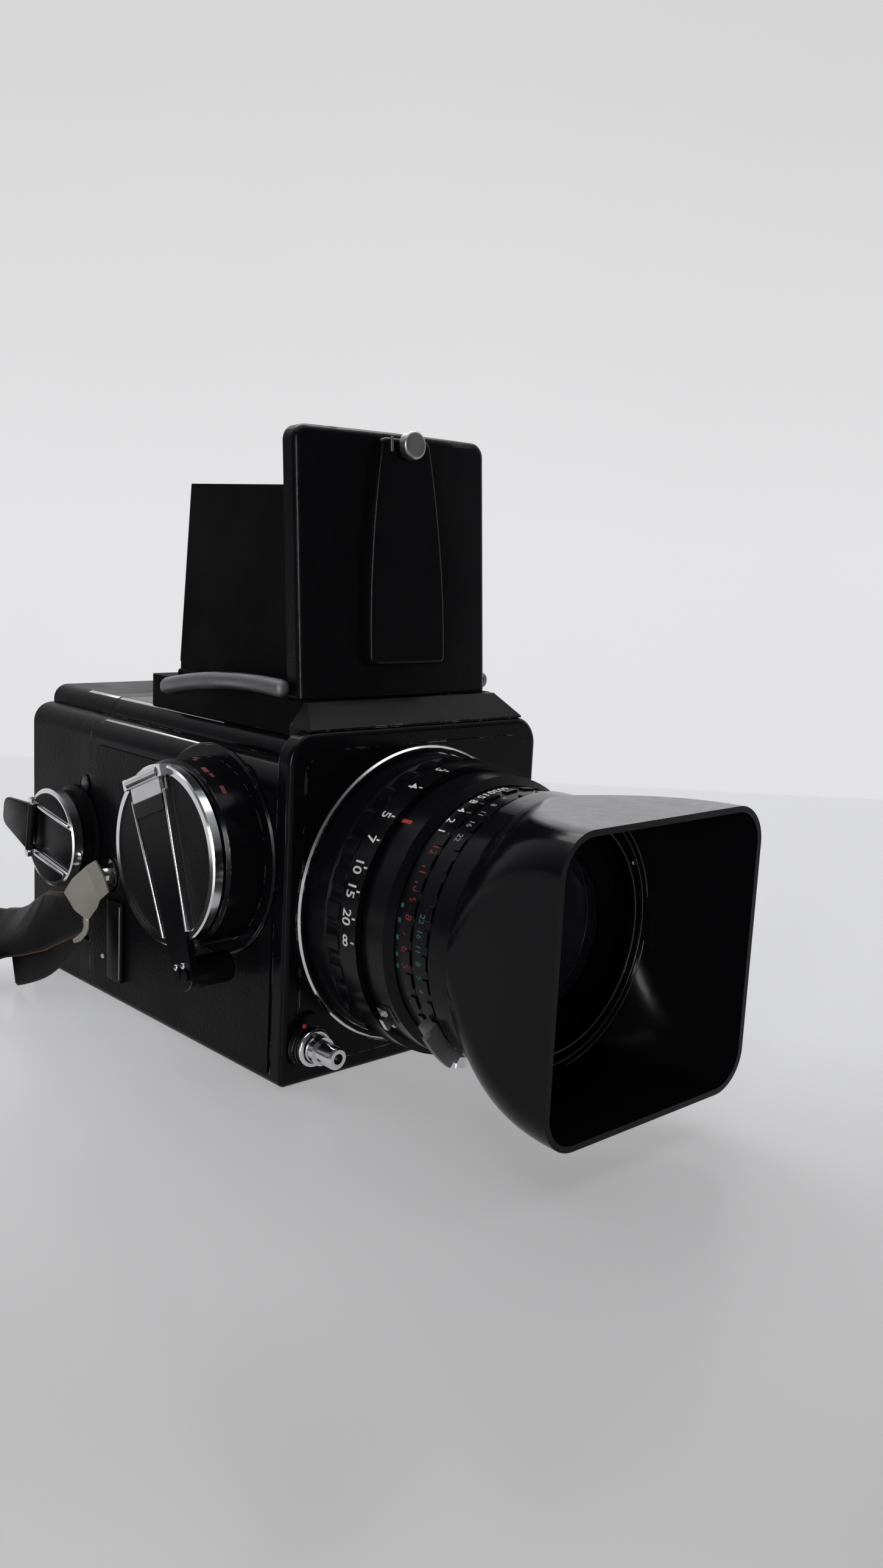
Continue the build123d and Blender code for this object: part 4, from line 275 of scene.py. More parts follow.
def glass(name, tint, roughness=0.02, bending=1.6):
    """Coated glass: mostly dark and clear, with a tinted coat."""
    material, tree, shader, coordinates = shader_tree(name)
    shader.inputs["Transmission Weight"].default_value = 0.85
    shader.inputs["IOR"].default_value = bending
    haze = spread(tree, noise(tree, coordinates, scale=20.0), 0.0, 1.0)
    tree.links.new(mix_colours(tree, haze, tint, shaded(tint, 0.8)), shader.inputs["Base Color"])
    film = noise(tree, coordinates, scale=90.0)
    tree.links.new(spread(tree, film, roughness, roughness * 3), shader.inputs["Roughness"])
    shader.inputs["Coat Weight"].default_value = 0.15
    shader.inputs["Coat Tint"].default_value = (0.55, 0.45, 0.9, 1.0)
    return material


RUBBED_BRASS = (0.36, 0.34, 0.32)
JET = (0.003, 0.003, 0.004)
INK = (0.004, 0.004, 0.005)
BLUE_BLACK = (0.0035, 0.0035, 0.0045)
ENAMEL = painted("enamel", JET, 0.2, RUBBED_BRASS, wear=0.1, shine=0.12)
ENAMEL_SATIN = painted("enamel_satin", INK, 0.3, RUBBED_BRASS, wear=0.08, shine=0.1)
MATT = painted("matt_paint", (0.003, 0.003, 0.0035), 0.6, wear=0.0, ripple=0.4, shine=0.05)
LENS_BLACK = painted("lens_black", BLUE_BLACK, 0.24, (0.2, 0.2, 0.2), wear=0.05, wear_radius=0.25, shine=0.16)
# Dust and a painted reflection of the bright room lie on the shade's upward outer faces
SHADE_BLACK = painted("shade_black", BLUE_BLACK, 0.19, (0.12, 0.12, 0.12), wear=0.03, ripple=0.25,
                      shine=0.13, dust_and_sheen=0.2)
BLACK_PLASTIC = painted("black_plastic", INK, 0.26, (0.09, 0.09, 0.09), wear=0.05, shine=0.16)
CLIP_METAL = painted("clip_plate", (0.27, 0.26, 0.225), 0.5, (0.66, 0.64, 0.58), wear=0.24, ripple=0.5)
LEATHERETTE = grained("leatherette", INK, 0.36, 900.0, 0.08, shine=0.09)
COVER_GRAIN = grained("cover_grain", INK, 0.26, 1300.0, 0.03, shine=0.13)
INLAY = grained("inlay_grain", (0.006, 0.006, 0.007), 0.42, 1500.0, 0.08, shine=0.12)
STRAP = grained("strap_leather", (0.011, 0.010, 0.011), 0.5, 700.0, 0.12, sheen=0.04, wear=0.16, shine=0.2)
STRAP_EDGE = grained("strap_edge", (0.11, 0.05, 0.028), 0.8, 1600.0, 0.10, sheen=0.2)
CHROME = metal("chrome", (0.80, 0.80, 0.81), 0.13)
SATIN = metal("satin_steel", (0.62, 0.62, 0.62), 0.3, brushed=0.2)
GREY = metal("grey_rail", (0.22, 0.22, 0.225), 0.42, brushed=0.3)
DULL_STEEL = metal("dull_steel", (0.36, 0.36, 0.35), 0.34, brushed=0.3)
# Bright metal of the painted highlights along the edges of deck, shoulder and shade
HIGHLIGHT_METAL = metal("painted_highlight_edge", (0.55, 0.55, 0.55), 0.22)
HINGE_METAL = metal("hinge_steel", (0.66, 0.66, 0.66), 0.24, 0.15, painted_below=(HINGE_UP, HINGE_BARE_FROM))
MIRROR = metal("mirror_silver", (0.92, 0.92, 0.93), 0.03, spots=0.03)
WHITE_MARK = paint_mark("white_mark", (0.78, 0.78, 0.74))
PALE_MARK = paint_mark("pale_mark", (0.24, 0.26, 0.25))
RED_MARK = paint_mark("red_mark", (0.44, 0.035, 0.028))
DARK_RED_MARK = paint_mark("dark_red_mark", (0.20, 0.016, 0.016))
GREEN_MARK = paint_mark("green_mark", (0.025, 0.12, 0.11))
SMOKED = glass("smoked_window", (0.20, 0.21, 0.22), 0.1)
COATED = glass("coated_glass", (0.16, 0.17, 0.22), 0.012, 1.35)
GROUND = glass("ground_glass", (0.85, 0.87, 0.84), 0.35)

# Each material with the solids that have it
SOLIDS_BY_MATERIAL = (
    (ENAMEL, "body_shell front_plate crank_base"),
    (ENAMEL_SATIN, "name_strip rear_frame release_lock_lever crank_arm magazine_frame film_insert"),
    (MATT, "mirror_box screen_frame mirror_frame upper_flap lower_flap finder_base left_leaf right_leaf "
           "rear_leaf magnifier_arm trim_ring"),
    (LENS_BLACK, "lens_base focus_ring lens_barrel shutter_ring aperture_ring"),
    (SHADE_BLACK, "shade"),
    (BLACK_PLASTIC, "crank_handle winder_tab supply_spool takeup_spool"),
    (LEATHERETTE, "side_coverings magazine_shell"),
    (COVER_GRAIN, "finder_cover"),
    (INLAY, "crank_inlays"),
    (CHROME, "strap_lugs release_collar release_button lens_release_button mount_ring crank_disc "
             "magazine_latch winder_disc flash_selector flash_socket"),
    (SATIN, "cocking_shaft tripod_socket accessory_rail dark_slide"),
    (GREY, "base_plate finder_rails coupling_lever"),
    (DULL_STEEL, "cover_knob"),
    (HINGE_METAL, "crank_hinge_block"),
    (MIRROR, "mirror_glass"),
    (COATED, "magnifier_lens lens_glass"),
    (GROUND, "focusing_screen"),
    (STRAP, "strap_run strap_roll"),
    (CLIP_METAL, "strap_clips"),
)
for material, nodes in SOLIDS_BY_MATERIAL:
    for node in nodes.split():
        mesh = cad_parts[node].data
        mesh.materials.clear()
        mesh.materials.append(material)


# Mesh helpers
def metres(lengths):
    """Lengths in millimetres, as a list in metres."""
    return [length * MM for length in lengths]


def finish_piece(name, shape, body, material, replaced=(), smooth_below=35.0):
    """Object from a bmesh in metres, that rides on a body and stands for the nodes that it replaces."""
    bmesh.ops.recalc_face_normals(shape, faces=shape.faces)
    mesh = bpy.data.meshes.new(name)
    shape.to_mesh(mesh)
    shape.free()
    mesh.shade_smooth()
    mesh.set_sharp_from_angle(angle=radians(smooth_below))
    piece = bpy.data.objects.new(name, mesh)
    bpy.context.scene.collection.objects.link(piece)
    mesh.materials.append(material)
    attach(piece, body)
    if replaced:
        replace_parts(piece, *replaced)
    return piece


def tube_rows(shape, rows, closed_ends=True):
    """Skin over rows of points that each close on themselves."""
    rings = [[shape.verts.new(point) for point in row] for row in rows]
    count = len(rings[0])
    for first, second in zip(rings, rings[1:]):
        for index in range(count):
            following = (index + 1) % count
            shape.faces.new((first[index], first[following], second[following], second[index]))
    if closed_ends:
        shape.faces.new(rings[0][::-1])
        shape.faces.new(rings[-1])
    return rings


# Neck strap: a flat band on its edge that follows one smooth line from the clip to the roll
STRAP_WIDTH = 20.0
STRAP_THICKNESS = 2.4
STRAP_ROUTE = [(-50.5, 36.5, 28.5), (-56.0, 52.0, 22.5), (-60.0, 74.0, 11.8), (-66.0, 93.0, 10.0)]
# The band starts narrow in its clip, widens, and leans over on the way down to the table
FIRST_WIDTH = 11.0
WIDENING = 24.0
LEAN_LENGTH = 66.0
LEAN = radians(50)
# The roll begins at the route's last point, in the direction of the route there
ROLL_RADIUS = 48.0
ROLL_PITCH = 7.2
ROLL_TURNS = 4.5
POINTS_PER_TURN = 16
before_roll, roll_entry = STRAP_ROUTE[-2:]
ROLL_START = atan2(roll_entry[1] - before_roll[1], roll_entry[0] - before_roll[0]) - pi / 2
ROLL_CENTRE = (roll_entry[0] - (ROLL_RADIUS + ROLL_PITCH / 4) * cos(ROLL_START),
               roll_entry[1] - (ROLL_RADIUS + ROLL_PITCH / 4) * sin(ROLL_START))


def roll_route():
    """Control points of the roll, which a quadratic spline rounds to the roll's own radius."""
    points = []
    for index in range(1, round(ROLL_TURNS * POINTS_PER_TURN) + 1):
        turns = (index - 0.5) / POINTS_PER_TURN
        radius = (ROLL_RADIUS + ROLL_PITCH / 4 - ROLL_PITCH * turns) / cos(pi / POINTS_PER_TURN)
        angle = ROLL_START + 2 * pi * turns
        points.append((ROLL_CENTRE[0] + radius * cos(angle), ROLL_CENTRE[1] + radius * sin(angle),
                       STRAP_WIDTH / 2))
    return points


def smooth_line(name, points):
    """Points along the smooth spline that has these control points, all in millimetres."""
    curve = bpy.data.curves.new(name, "CURVE")
    curve.dimensions = "3D"
    curve.resolution_u = 4
    spline = curve.splines.new("NURBS")
    spline.points.add(len(points) - 1)
    for point, place in zip(spline.points, points):
        point.co = (*place, 1.0)
    spline.order_u = 3
    spline.use_endpoint_u = True
    holder = bpy.data.objects.new(name, curve)
    bpy.context.scene.collection.objects.link(holder)
    bpy.context.view_layer.update()
    mesh = bpy.data.meshes.new_from_object(holder)
    line = [vertex.co.copy() for vertex in mesh.vertices]
    bpy.data.objects.remove(holder)
    bpy.data.meshes.remove(mesh)
    return line


def strap_section(width, thickness):
    """Rounded section of the band: (across, up) points, anticlockwise."""
    edge = 0.42 * thickness
    half = thickness / 2
    tall = width / 2
    return [(-half, -tall + edge), (-half + edge, -tall), (half - edge, -tall), (half, -tall + edge),
            (half, tall - edge), (half - edge, tall), (-half + edge, tall), (-half, tall - edge)]


def band_rows(line, first_width, tip_length, lean, sideways=0.0, thickness=STRAP_THICKNESS, extra=0.0):
    """Sections of a leather band along a line: it widens from its tip, leans over on its way, and stands on
    its edge on the table. Sideways moves a second layer off the first, and extra widens it."""
    rows = []
    travelled = 0.0
    for index, place in enumerate(line):
        before = line[max(index - 1, 0)]
        after = line[min(index + 1, len(line) - 1)]
        along = (after - before).normalized()
        flat = Vector((along.x, along.y, 0)).normalized()
        if index:
            travelled += (place - line[index - 1]).length
        grown = min(1.0, travelled / tip_length)
        width = first_width + (STRAP_WIDTH + extra - first_width) * (grown * grown * (3 - 2 * grown))
        tilt = lean * sin(pi * min(1.0, travelled / LEAN_LENGTH)) ** 2
        across = Vector((flat.y, -flat.x, 0))
        square = across.cross(along).normalized()
        upright = square * cos(tilt) + across * sin(tilt)
        outward = across * cos(tilt) - square * sin(tilt)
        centre = place + across * sideways
        lowest = centre.z - width / 2 * upright.z
        lift = Vector((0, 0, max(0.0, -lowest)))
        rows.append([(centre + lift + outward * side + upright * up) * MM
                     for side, up in strap_section(width, thickness)])
    return rows


line = smooth_line("strap_line", STRAP_ROUTE + roll_route())
shape = bmesh.new()
tube_rows(shape, band_rows(line, FIRST_WIDTH, WIDENING, LEAN))
strap = finish_piece("strap", shape, "camera", STRAP, ("strap_run", "strap_roll"), 50.0)

# Second layer of the strap: its end comes back through the clip and hangs below the first, and its raw
# brown edge shows along the first layer's start
TAIL_ROUTE = [(-50.0, 38.5, 23.0), (-53.5, 46.0, 17.5), (-57.5, 56.0, 10.5), (-59.5, 62.0, 8.6)]
TAIL_FIRST_WIDTH = 9.0
TAIL_WIDENING = 20.0
TAIL_LEAN = radians(8)
TAIL_THICKNESS = 2.0
TAIL_NARROWER = -4.0
LINING_SIDEWAYS = 0.5
LINING_THICKNESS = 1.5
LINING_WIDER = 0.9
LINING_POINTS = 7
tail_line = smooth_line("tail_line", TAIL_ROUTE)
shape = bmesh.new()
tube_rows(shape, band_rows(tail_line, TAIL_FIRST_WIDTH, TAIL_WIDENING, TAIL_LEAN,
                           thickness=TAIL_THICKNESS, extra=TAIL_NARROWER))
strap_tail = finish_piece("strap_tail", shape, "camera", STRAP, smooth_below=50.0)
shape = bmesh.new()
tube_rows(shape, band_rows(line[:LINING_POINTS], FIRST_WIDTH + LINING_WIDER, WIDENING, LEAN,
                           LINING_SIDEWAYS, LINING_THICKNESS, LINING_WIDER))
strap_lining = finish_piece("strap_lining", shape, "camera", STRAP_EDGE, smooth_below=50.0)

# Folded plates of the two clips: leaves that meet at a crease, and on the near one a hook under the leather
LEFT_LEAF = [(-0.7, 8.6), (3.8, -1.1), (3.2, -3.4), (0.9, -7.2), (-3.0, -4.4), (-6.3, 0.7), (-4.4, 4.6)]
RIGHT_LEAF = [(2.7, 10.8), (5.6, 6.4), (7.2, 1.8)]
HOOK = [(-0.8, -6.2), (1.1, -6.6), (1.1, -9.4), (0.3, -11.6), (-1.5, -13.7), (-3.6, -14.6), (-4.2, -13.4),
        (-2.6, -12.3), (-1.2, -10.8), (-0.6, -9.0)]
LEFT_SLOPE = 0.34
RIGHT_SLOPE = 0.30
CREASE_START = Vector(LEFT_LEAF[0])
CREASE = (Vector(LEFT_LEAF[1]) - CREASE_START).normalized()
HOOK_DEPTH = -1.5
CLIP_THICKNESS = 1.1
CLIP_ROUNDING = 0.35


def folded_clip(name, origin, across, up, hooked):
    """Clip bent from sheet metal: its outlines are drawn on a plane and get a thickness and soft edges."""
    first = Vector(across).normalized()
    second = Vector(up).normalized()
    outward = second.cross(first)

    def corner(side, rise, slope, depth=0.0):
        past = Vector((side, rise)) - CREASE_START
        from_crease = abs(CREASE.x * past.y - CREASE.y * past.x)
        return (Vector(origin) + first * side + second * rise + outward * (depth - slope * from_crease)) * MM

    shape = bmesh.new()
    left = [shape.verts.new(corner(side, rise, LEFT_SLOPE)) for side, rise in LEFT_LEAF]
    right = [shape.verts.new(corner(side, rise, RIGHT_SLOPE)) for side, rise in RIGHT_LEAF]
    shape.faces.new(left)
    shape.faces.new([left[1]] + right[::-1] + [left[0]])
    if hooked:
        shape.faces.new([shape.verts.new(corner(side, rise, 0.0, HOOK_DEPTH)) for side, rise in HOOK])
    bmesh.ops.recalc_face_normals(shape, faces=shape.faces)
    sheet = bpy.data.meshes.new(name)
    shape.to_mesh(sheet)
    shape.free()
    plate = bpy.data.objects.new(name, sheet)
    bpy.context.scene.collection.objects.link(plate)
    sheet.materials.append(CLIP_METAL)
    bpy.ops.object.select_all(action="DESELECT")
    plate.select_set(True)
    bpy.context.view_layer.objects.active = plate
    wall = plate.modifiers.new("wall", "SOLIDIFY")
    wall.thickness = CLIP_THICKNESS * MM
    wall.offset = 0.0
    rounding = plate.modifiers.new("rounding", "BEVEL")
    rounding.width = CLIP_ROUNDING * MM
    rounding.segments = 2
    bpy.ops.object.modifier_apply(modifier="wall")
    bpy.ops.object.modifier_apply(modifier="rounding")
    bpy.ops.object.shade_smooth_by_angle(angle=radians(35))
    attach(plate, "camera")
    return plate


# The near clip hangs on the lug; the far one points from the strap's end into the roll
NEAR_CLIP_PLACE = (-50.5, 33.5, 34.0)
NEAR_CLIP_ACROSS = (0.55, -0.835, 0.0)
FAR_CLIP_REACH = 5.5
FAR_CLIP_TURN = radians(55)
near_clip = folded_clip("near_clip", NEAR_CLIP_PLACE, NEAR_CLIP_ACROSS, (0, 0, 1), True)
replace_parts(near_clip, "strap_clips")
strap_end = line[-1]
last_heading = (line[-1] - line[-2]).normalized()
inward = (Vector((*ROLL_CENTRE, strap_end.z)) - strap_end).normalized()
reach = (last_heading * cos(FAR_CLIP_TURN) + inward * sin(FAR_CLIP_TURN)).normalized()
far_clip = folded_clip("far_clip", strap_end + reach * FAR_CLIP_REACH, (0, 0, 1), reach, False)
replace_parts(far_clip, "strap_clips")


# Modelling by hand: each piece is made flat on a working plane, then taken to its place on the camera
def working_plane(origin, across, up):
    """Matrix of a working plane from its origin in millimetres and two of its directions."""
    first = Vector(across).normalized()
    second = Vector(up).normalized()
    turn = Matrix((first, second, first.cross(second))).transposed().to_4x4()
    return Matrix.Translation(Vector(origin) * MM) @ turn


# Planes that face out of the winder, the crank, the leaning cover, the sides, the front and the lens
FORWARDS = (0, -1, 0)
RIGHTWARDS = (1, 0, 0)
UPWARDS = (0, 0, 1)
WINDER_FACE = working_plane(WINDER_CENTRE, WINDER_ACROSS, WINDER_UP)
CRANK_FLOOR = working_plane((CRANK_FLOOR_X, CRANK_Y, CRANK_Z), (0, -HINGE_UP[2], HINGE_UP[1]), HINGE_UP)
COVER_FACE = working_plane((0, -42.6, 99.2), RIGHTWARDS, (0, 0.08211, 0.99662))
SIDE = working_plane((SIDE_X, 0, 0), FORWARDS, UPWARDS)
MAGAZINE_SIDE = working_plane((MAGAZINE_SIDE_X, 0, 0), FORWARDS, UPWARDS)
FRONT = working_plane((0, FRONT_Y, 0), RIGHTWARDS, UPWARDS)
LENS_FRONT = working_plane((0, 0, LENS_Z), RIGHTWARDS, UPWARDS)


# Rounding of the thinnest pieces
THIN_EDGE = 0.12


def fresh():
    """Nothing selected, in object mode."""
    bpy.ops.object.select_all(action="DESELECT")


def edit_all():
    """Edit mode with the whole mesh selected."""
    bpy.ops.object.mode_set(mode="EDIT")
    bpy.ops.mesh.select_all(action="SELECT")


def select_faces(test):
    """In edit mode, selects only the faces whose middle and normal pass a test."""
    bpy.ops.mesh.select_mode(type="FACE")
    bpy.ops.mesh.select_all(action="DESELECT")
    shape = bmesh.from_edit_mesh(bpy.context.object.data)
    for face in shape.faces:
        face.select_set(test(face.calc_center_median(), face.normal))
    bmesh.update_edit_mesh(bpy.context.object.data)


def settle(name, plane, body, material, angle=32.0):
    """Takes the active piece to its plane, with its place in its mesh, and fixes it to a body."""
    piece = bpy.context.object
    if piece.mode != "OBJECT":
        bpy.ops.object.mode_set(mode="OBJECT")
    piece.name = name
    piece.data.name = name
    piece.matrix_world = plane @ piece.matrix_world
    bpy.ops.object.transform_apply(location=True, rotation=True, scale=True)
    edit_all()
    bpy.ops.mesh.normals_make_consistent(inside=False)
    bpy.ops.object.mode_set(mode="OBJECT")
    bpy.ops.object.shade_smooth_by_angle(angle=radians(angle))
    piece.data.materials.clear()
    piece.data.materials.append(material)
    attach(piece, body)
    return piece


def rounded_bar(size, place, edge, turn=0.0, segments=3):
    """Bar with rounded edges, its size and place in millimetres, turned in its plane."""
    fresh()
    bpy.ops.mesh.primitive_cube_add(size=1, location=metres(place))
    bpy.ops.transform.resize(value=metres(size))
    bpy.context.object.rotation_euler.z = radians(turn)
    bpy.ops.object.transform_apply(location=False, rotation=True, scale=True)
    edit_all()
    bpy.ops.mesh.bevel(offset=edge * MM, segments=segments, affect="EDGES")
    bpy.ops.object.mode_set(mode="OBJECT")
    return bpy.context.object


def button(radius, height, place, edge, stretch=1.0, sides=32):
    """Round or oval button with a rounded rim."""
    fresh()
    bpy.ops.mesh.primitive_cylinder_add(vertices=sides, radius=radius * MM, depth=height * MM,
                                        location=metres(place))
    bpy.ops.transform.resize(value=(1.0, stretch, 1.0))
    bpy.ops.object.transform_apply(location=False, rotation=False, scale=True)
    bpy.ops.object.mode_set(mode="EDIT")
    select_faces(lambda middle, normal: normal.z > 0.9)
    bpy.ops.mesh.bevel(offset=edge * MM, segments=3, affect="EDGES")
    bpy.ops.object.mode_set(mode="OBJECT")
    return bpy.context.object


def washer(outer, inner, height, place, sides=48):
    """Flat ring: a disc whose face is inset, its inner part taken out and the rest raised."""
    fresh()
    bpy.ops.mesh.primitive_circle_add(vertices=sides, radius=outer * MM, fill_type="NGON",
                                      location=metres(place))
    edit_all()
    bpy.ops.mesh.inset(thickness=(outer - inner) * MM, depth=0)
    bpy.ops.mesh.delete(type="FACE")
    bpy.ops.mesh.select_all(action="SELECT")
    bpy.ops.mesh.extrude_region_move(TRANSFORM_OT_translate={"value": (0, 0, height * MM)})
    bpy.ops.object.mode_set(mode="OBJECT")
    return bpy.context.object


def half_moon(radius, chord, side, height, lift):
    """Inlay of a round face beyond a chord, with a softened upper edge."""
    fresh()
    bpy.ops.mesh.primitive_circle_add(vertices=96, radius=radius * MM, fill_type="NGON",
                                      location=(0, 0, lift * MM))
    edit_all()
    bpy.ops.mesh.bisect(plane_co=(side * chord * MM, 0, lift * MM), plane_no=(side, 0, 0), clear_inner=True)
    bpy.ops.mesh.select_all(action="SELECT")
    bpy.ops.mesh.extrude_region_move(TRANSFORM_OT_translate={"value": (0, 0, height * MM)})
    select_faces(lambda middle, normal: abs(normal.z) > 0.9 and middle.z > (height / 2) * MM)
    bpy.ops.mesh.bevel(offset=THIN_EDGE * MM, segments=2, affect="EDGES")
    bpy.ops.object.mode_set(mode="OBJECT")
    return bpy.context.object


# Film winder: fine-grained black inlays with bright ribs between them, over a black band
WINDER_INLAY_RADIUS = 13.2
WINDER_INLAY_HEIGHT = 0.28
WINDER_CHORD = 7.9
WINDER_RIB = (0.9, 18.6, 1.3)
WINDER_BAND = (12.6, 22.0, 0.16)
BAND_MIDDLE = -2.6
for side, word in ((-1, "low"), (1, "high")):
    half_moon(WINDER_INLAY_RADIUS, WINDER_CHORD + 0.3, side, WINDER_INLAY_HEIGHT, 0.0)
    settle("winder_inlay_" + word, WINDER_FACE, "winder", INLAY)
    rounded_bar(WINDER_RIB, (side * (WINDER_CHORD - WINDER_RIB[0] / 2), BAND_MIDDLE, 0.45), 0.3)
    settle("winder_rib_" + word, WINDER_FACE, "winder", CHROME)
rounded_bar(WINDER_BAND, (0, BAND_MIDDLE, -0.74), 0.05)
settle("winder_band", WINDER_FACE, "winder", BLACK_PLASTIC)

# Folding tab of the winder: a tapered plate with a rounded end, on a rod along its hinge
TAB_HINGE = 9.7
TAB_LENGTH = 17.0
TAB_HALF = 7.4
TAB_THICKNESS = 1.4
TAB_HEIGHT = 1.0
TAB_TAPER = 0.56
TAB_CORNER = 2.6
TAB_EDGE = 0.3
ROD_RADIUS = 1.1
tab_middle = TAB_HINGE + TAB_LENGTH / 2
fresh()
bpy.ops.mesh.primitive_cube_add(size=1, location=metres((0, tab_middle, TAB_HEIGHT)))
bpy.ops.transform.resize(value=metres((2 * TAB_HALF, TAB_LENGTH, TAB_THICKNESS)))
bpy.ops.object.transform_apply(location=True, rotation=False, scale=True)
bpy.ops.object.mode_set(mode="EDIT")
select_faces(lambda middle, normal: normal.y > 0.9)
bpy.ops.transform.resize(value=(TAB_TAPER, 1, 1))
bpy.ops.mesh.select_mode(type="EDGE")
bpy.ops.mesh.select_all(action="DESELECT")
shape = bmesh.from_edit_mesh(bpy.context.object.data)
for edge in shape.edges:
    upright = abs(edge.verts[0].co.z - edge.verts[1].co.z) > 1.0 * MM
    edge.select_set(upright and edge.verts[0].co.y > tab_middle * MM)
bmesh.update_edit_mesh(bpy.context.object.data)
bpy.ops.mesh.bevel(offset=TAB_CORNER * MM, segments=6, affect="EDGES")
bpy.ops.mesh.select_mode(type="FACE")
bpy.ops.mesh.select_all(action="SELECT")
bpy.ops.mesh.bevel(offset=TAB_EDGE * MM, segments=2, affect="EDGES")
bpy.ops.object.mode_set(mode="OBJECT")
tab_plate = bpy.context.object
rod = button(ROD_RADIUS, 2 * TAB_HALF - 0.4, (0, 0, 0), TAB_EDGE)
rod.rotation_euler.y = radians(90)
rod.location = metres((0, TAB_HINGE, TAB_HEIGHT))
bpy.ops.object.transform_apply(location=True, rotation=True, scale=True)
tab_plate.select_set(True)
bpy.ops.object.join()
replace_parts(settle("winder_tab_plate", WINDER_FACE, "winder_fold", BLACK_PLASTIC), "winder_tab")

# Crank: bright ribs beside the tapered arm, and two small screws at its end
ARM_ROOT_HALF = 7.6
ARM_SLOPE = 0.0647
ARM_HINGE = 20.4
RIB_GAP = 0.8
RIB_SIZE = (1.0, 36.5, 2.5)
RIB_MIDDLE = -2.3
RIB_LEAN = 3.7
SCREW_RADIUS = 0.85
ARM_SCREWS = (1.7, -28.6, 2.7)
for side, word in ((-1, "rear"), (1, "front")):
    half = ARM_ROOT_HALF - ARM_SLOPE * (ARM_HINGE - RIB_MIDDLE) + RIB_GAP
    rounded_bar(RIB_SIZE, (side * half, RIB_MIDDLE, 1.5), 0.38, turn=-side * RIB_LEAN)
    settle("crank_rib_" + word, CRANK_FLOOR, "crank_drum", CHROME)
    button(SCREW_RADIUS, 0.9, (side * ARM_SCREWS[0], *ARM_SCREWS[1:]), 0.3)
    settle("crank_screw_" + word, CRANK_FLOOR, "crank_lever", CHROME)


def flat_mark(width, length, steps):
    """Flat rectangle in millimetres, cut into steps along its width so that it can follow a curve."""
    fresh()
    bpy.ops.mesh.primitive_grid_add(x_subdivisions=steps, y_subdivisions=1, size=1)
    bpy.ops.transform.resize(value=(width * MM, length * MM, 1))
    bpy.ops.object.transform_apply(location=False, rotation=False, scale=True)


# Red marks wrapped round the crank drum: angle, station, length round the drum and width
DRUM_MARKS = ((91.0, -49.4, 2.2, 1.6), (86.0, -51.0, 1.2, 1.2), (70.0, -52.4, 2.4, 1.5),
              (64.0, -52.0, 1.6, 1.0), (51.0, -51.6, 2.6, 1.2))
DRUM_MARK_RADIUS = DRUM_RADIUS + 0.06
for angle, station, length, width in DRUM_MARKS:
    flat_mark(length, width, steps=6)
    for vertex in bpy.context.object.data.vertices:
        turned = radians(angle) + vertex.co.x / (DRUM_RADIUS * MM)
        vertex.co = (station * MM + vertex.co.y, (CRANK_Y - DRUM_MARK_RADIUS * cos(turned)) * MM,
                     (CRANK_Z + DRUM_MARK_RADIUS * sin(turned)) * MM)
    settle("drum_mark_%d" % angle, Matrix(), "camera", DARK_RED_MARK)

# Small window at the magazine's seam, and the raised block low on the side
WINDOW_PLACE = (-48.4, 63.6)
WINDOW_RADIUS = 2.3
BLOCK_PLACE = (-28.0, 20.5)
BLOCK_SIZE = (8.2, 24.0, 1.6)
BLOCK_EDGE_PLACE = -24.6
washer(WINDOW_RADIUS + 0.6, WINDOW_RADIUS - 0.1, 0.35, (*WINDOW_PLACE, 0.2))
settle("window_rim", MAGAZINE_SIDE, "magazine", ENAMEL_SATIN)
button(WINDOW_RADIUS, 0.5, (*WINDOW_PLACE, 0.15), 0.2, 1.05)
settle("window_pane", MAGAZINE_SIDE, "magazine", SMOKED)
rounded_bar(BLOCK_SIZE, (*BLOCK_PLACE, BLOCK_SIZE[2] / 2), 0.7)
settle("side_block", SIDE, "camera", ENAMEL_SATIN)
rounded_bar((0.6, BLOCK_SIZE[1] - 2, 0.5), (BLOCK_EDGE_PLACE, BLOCK_PLACE[1], 1.5), 0.2)
settle("side_block_edge", SIDE, "camera", GREY)
button(0.7, 0.5, (-36.5, 13.6, 0.2), 0.2)
settle("side_dot", SIDE, "camera", WHITE_MARK)

# Rails beside the finder, with rounded ends, bowed upwards and rising towards the front
RAIL_X = 35.2
RAIL_Z = 99.2
RAIL_MIDDLE = -9.5
RAIL_HALF = 28.5
RAIL_WIDTH = 4.4
RAIL_HEIGHT = 4.6
RAIL_ROUNDING = 2.0
RAIL_BOW = 2.1
RAIL_RISE = 1.3
for side, word in ((-1, "left"), (1, "right")):
    rounded_bar((RAIL_WIDTH, 2 * RAIL_HALF, RAIL_HEIGHT), (side * RAIL_X, RAIL_MIDDLE, RAIL_Z), RAIL_ROUNDING,
                segments=6)
    edit_all()
    shape = bmesh.from_edit_mesh(bpy.context.object.data)
    lengthwise = [edge for edge in shape.edges if edge.calc_length() > RAIL_HALF * MM]
    bmesh.ops.subdivide_edges(shape, edges=lengthwise, cuts=11, use_grid_fill=True)
    for vertex in shape.verts:
        along = (vertex.co.y / MM - RAIL_MIDDLE) / RAIL_HALF
        vertex.co.z += (RAIL_BOW * (1 - along * along) - RAIL_RISE * along) * MM
    bmesh.update_edit_mesh(bpy.context.object.data)
    bpy.ops.object.mode_set(mode="OBJECT")
    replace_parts(settle("finder_rail_" + word, Matrix(), "camera", GREY), "finder_rails")
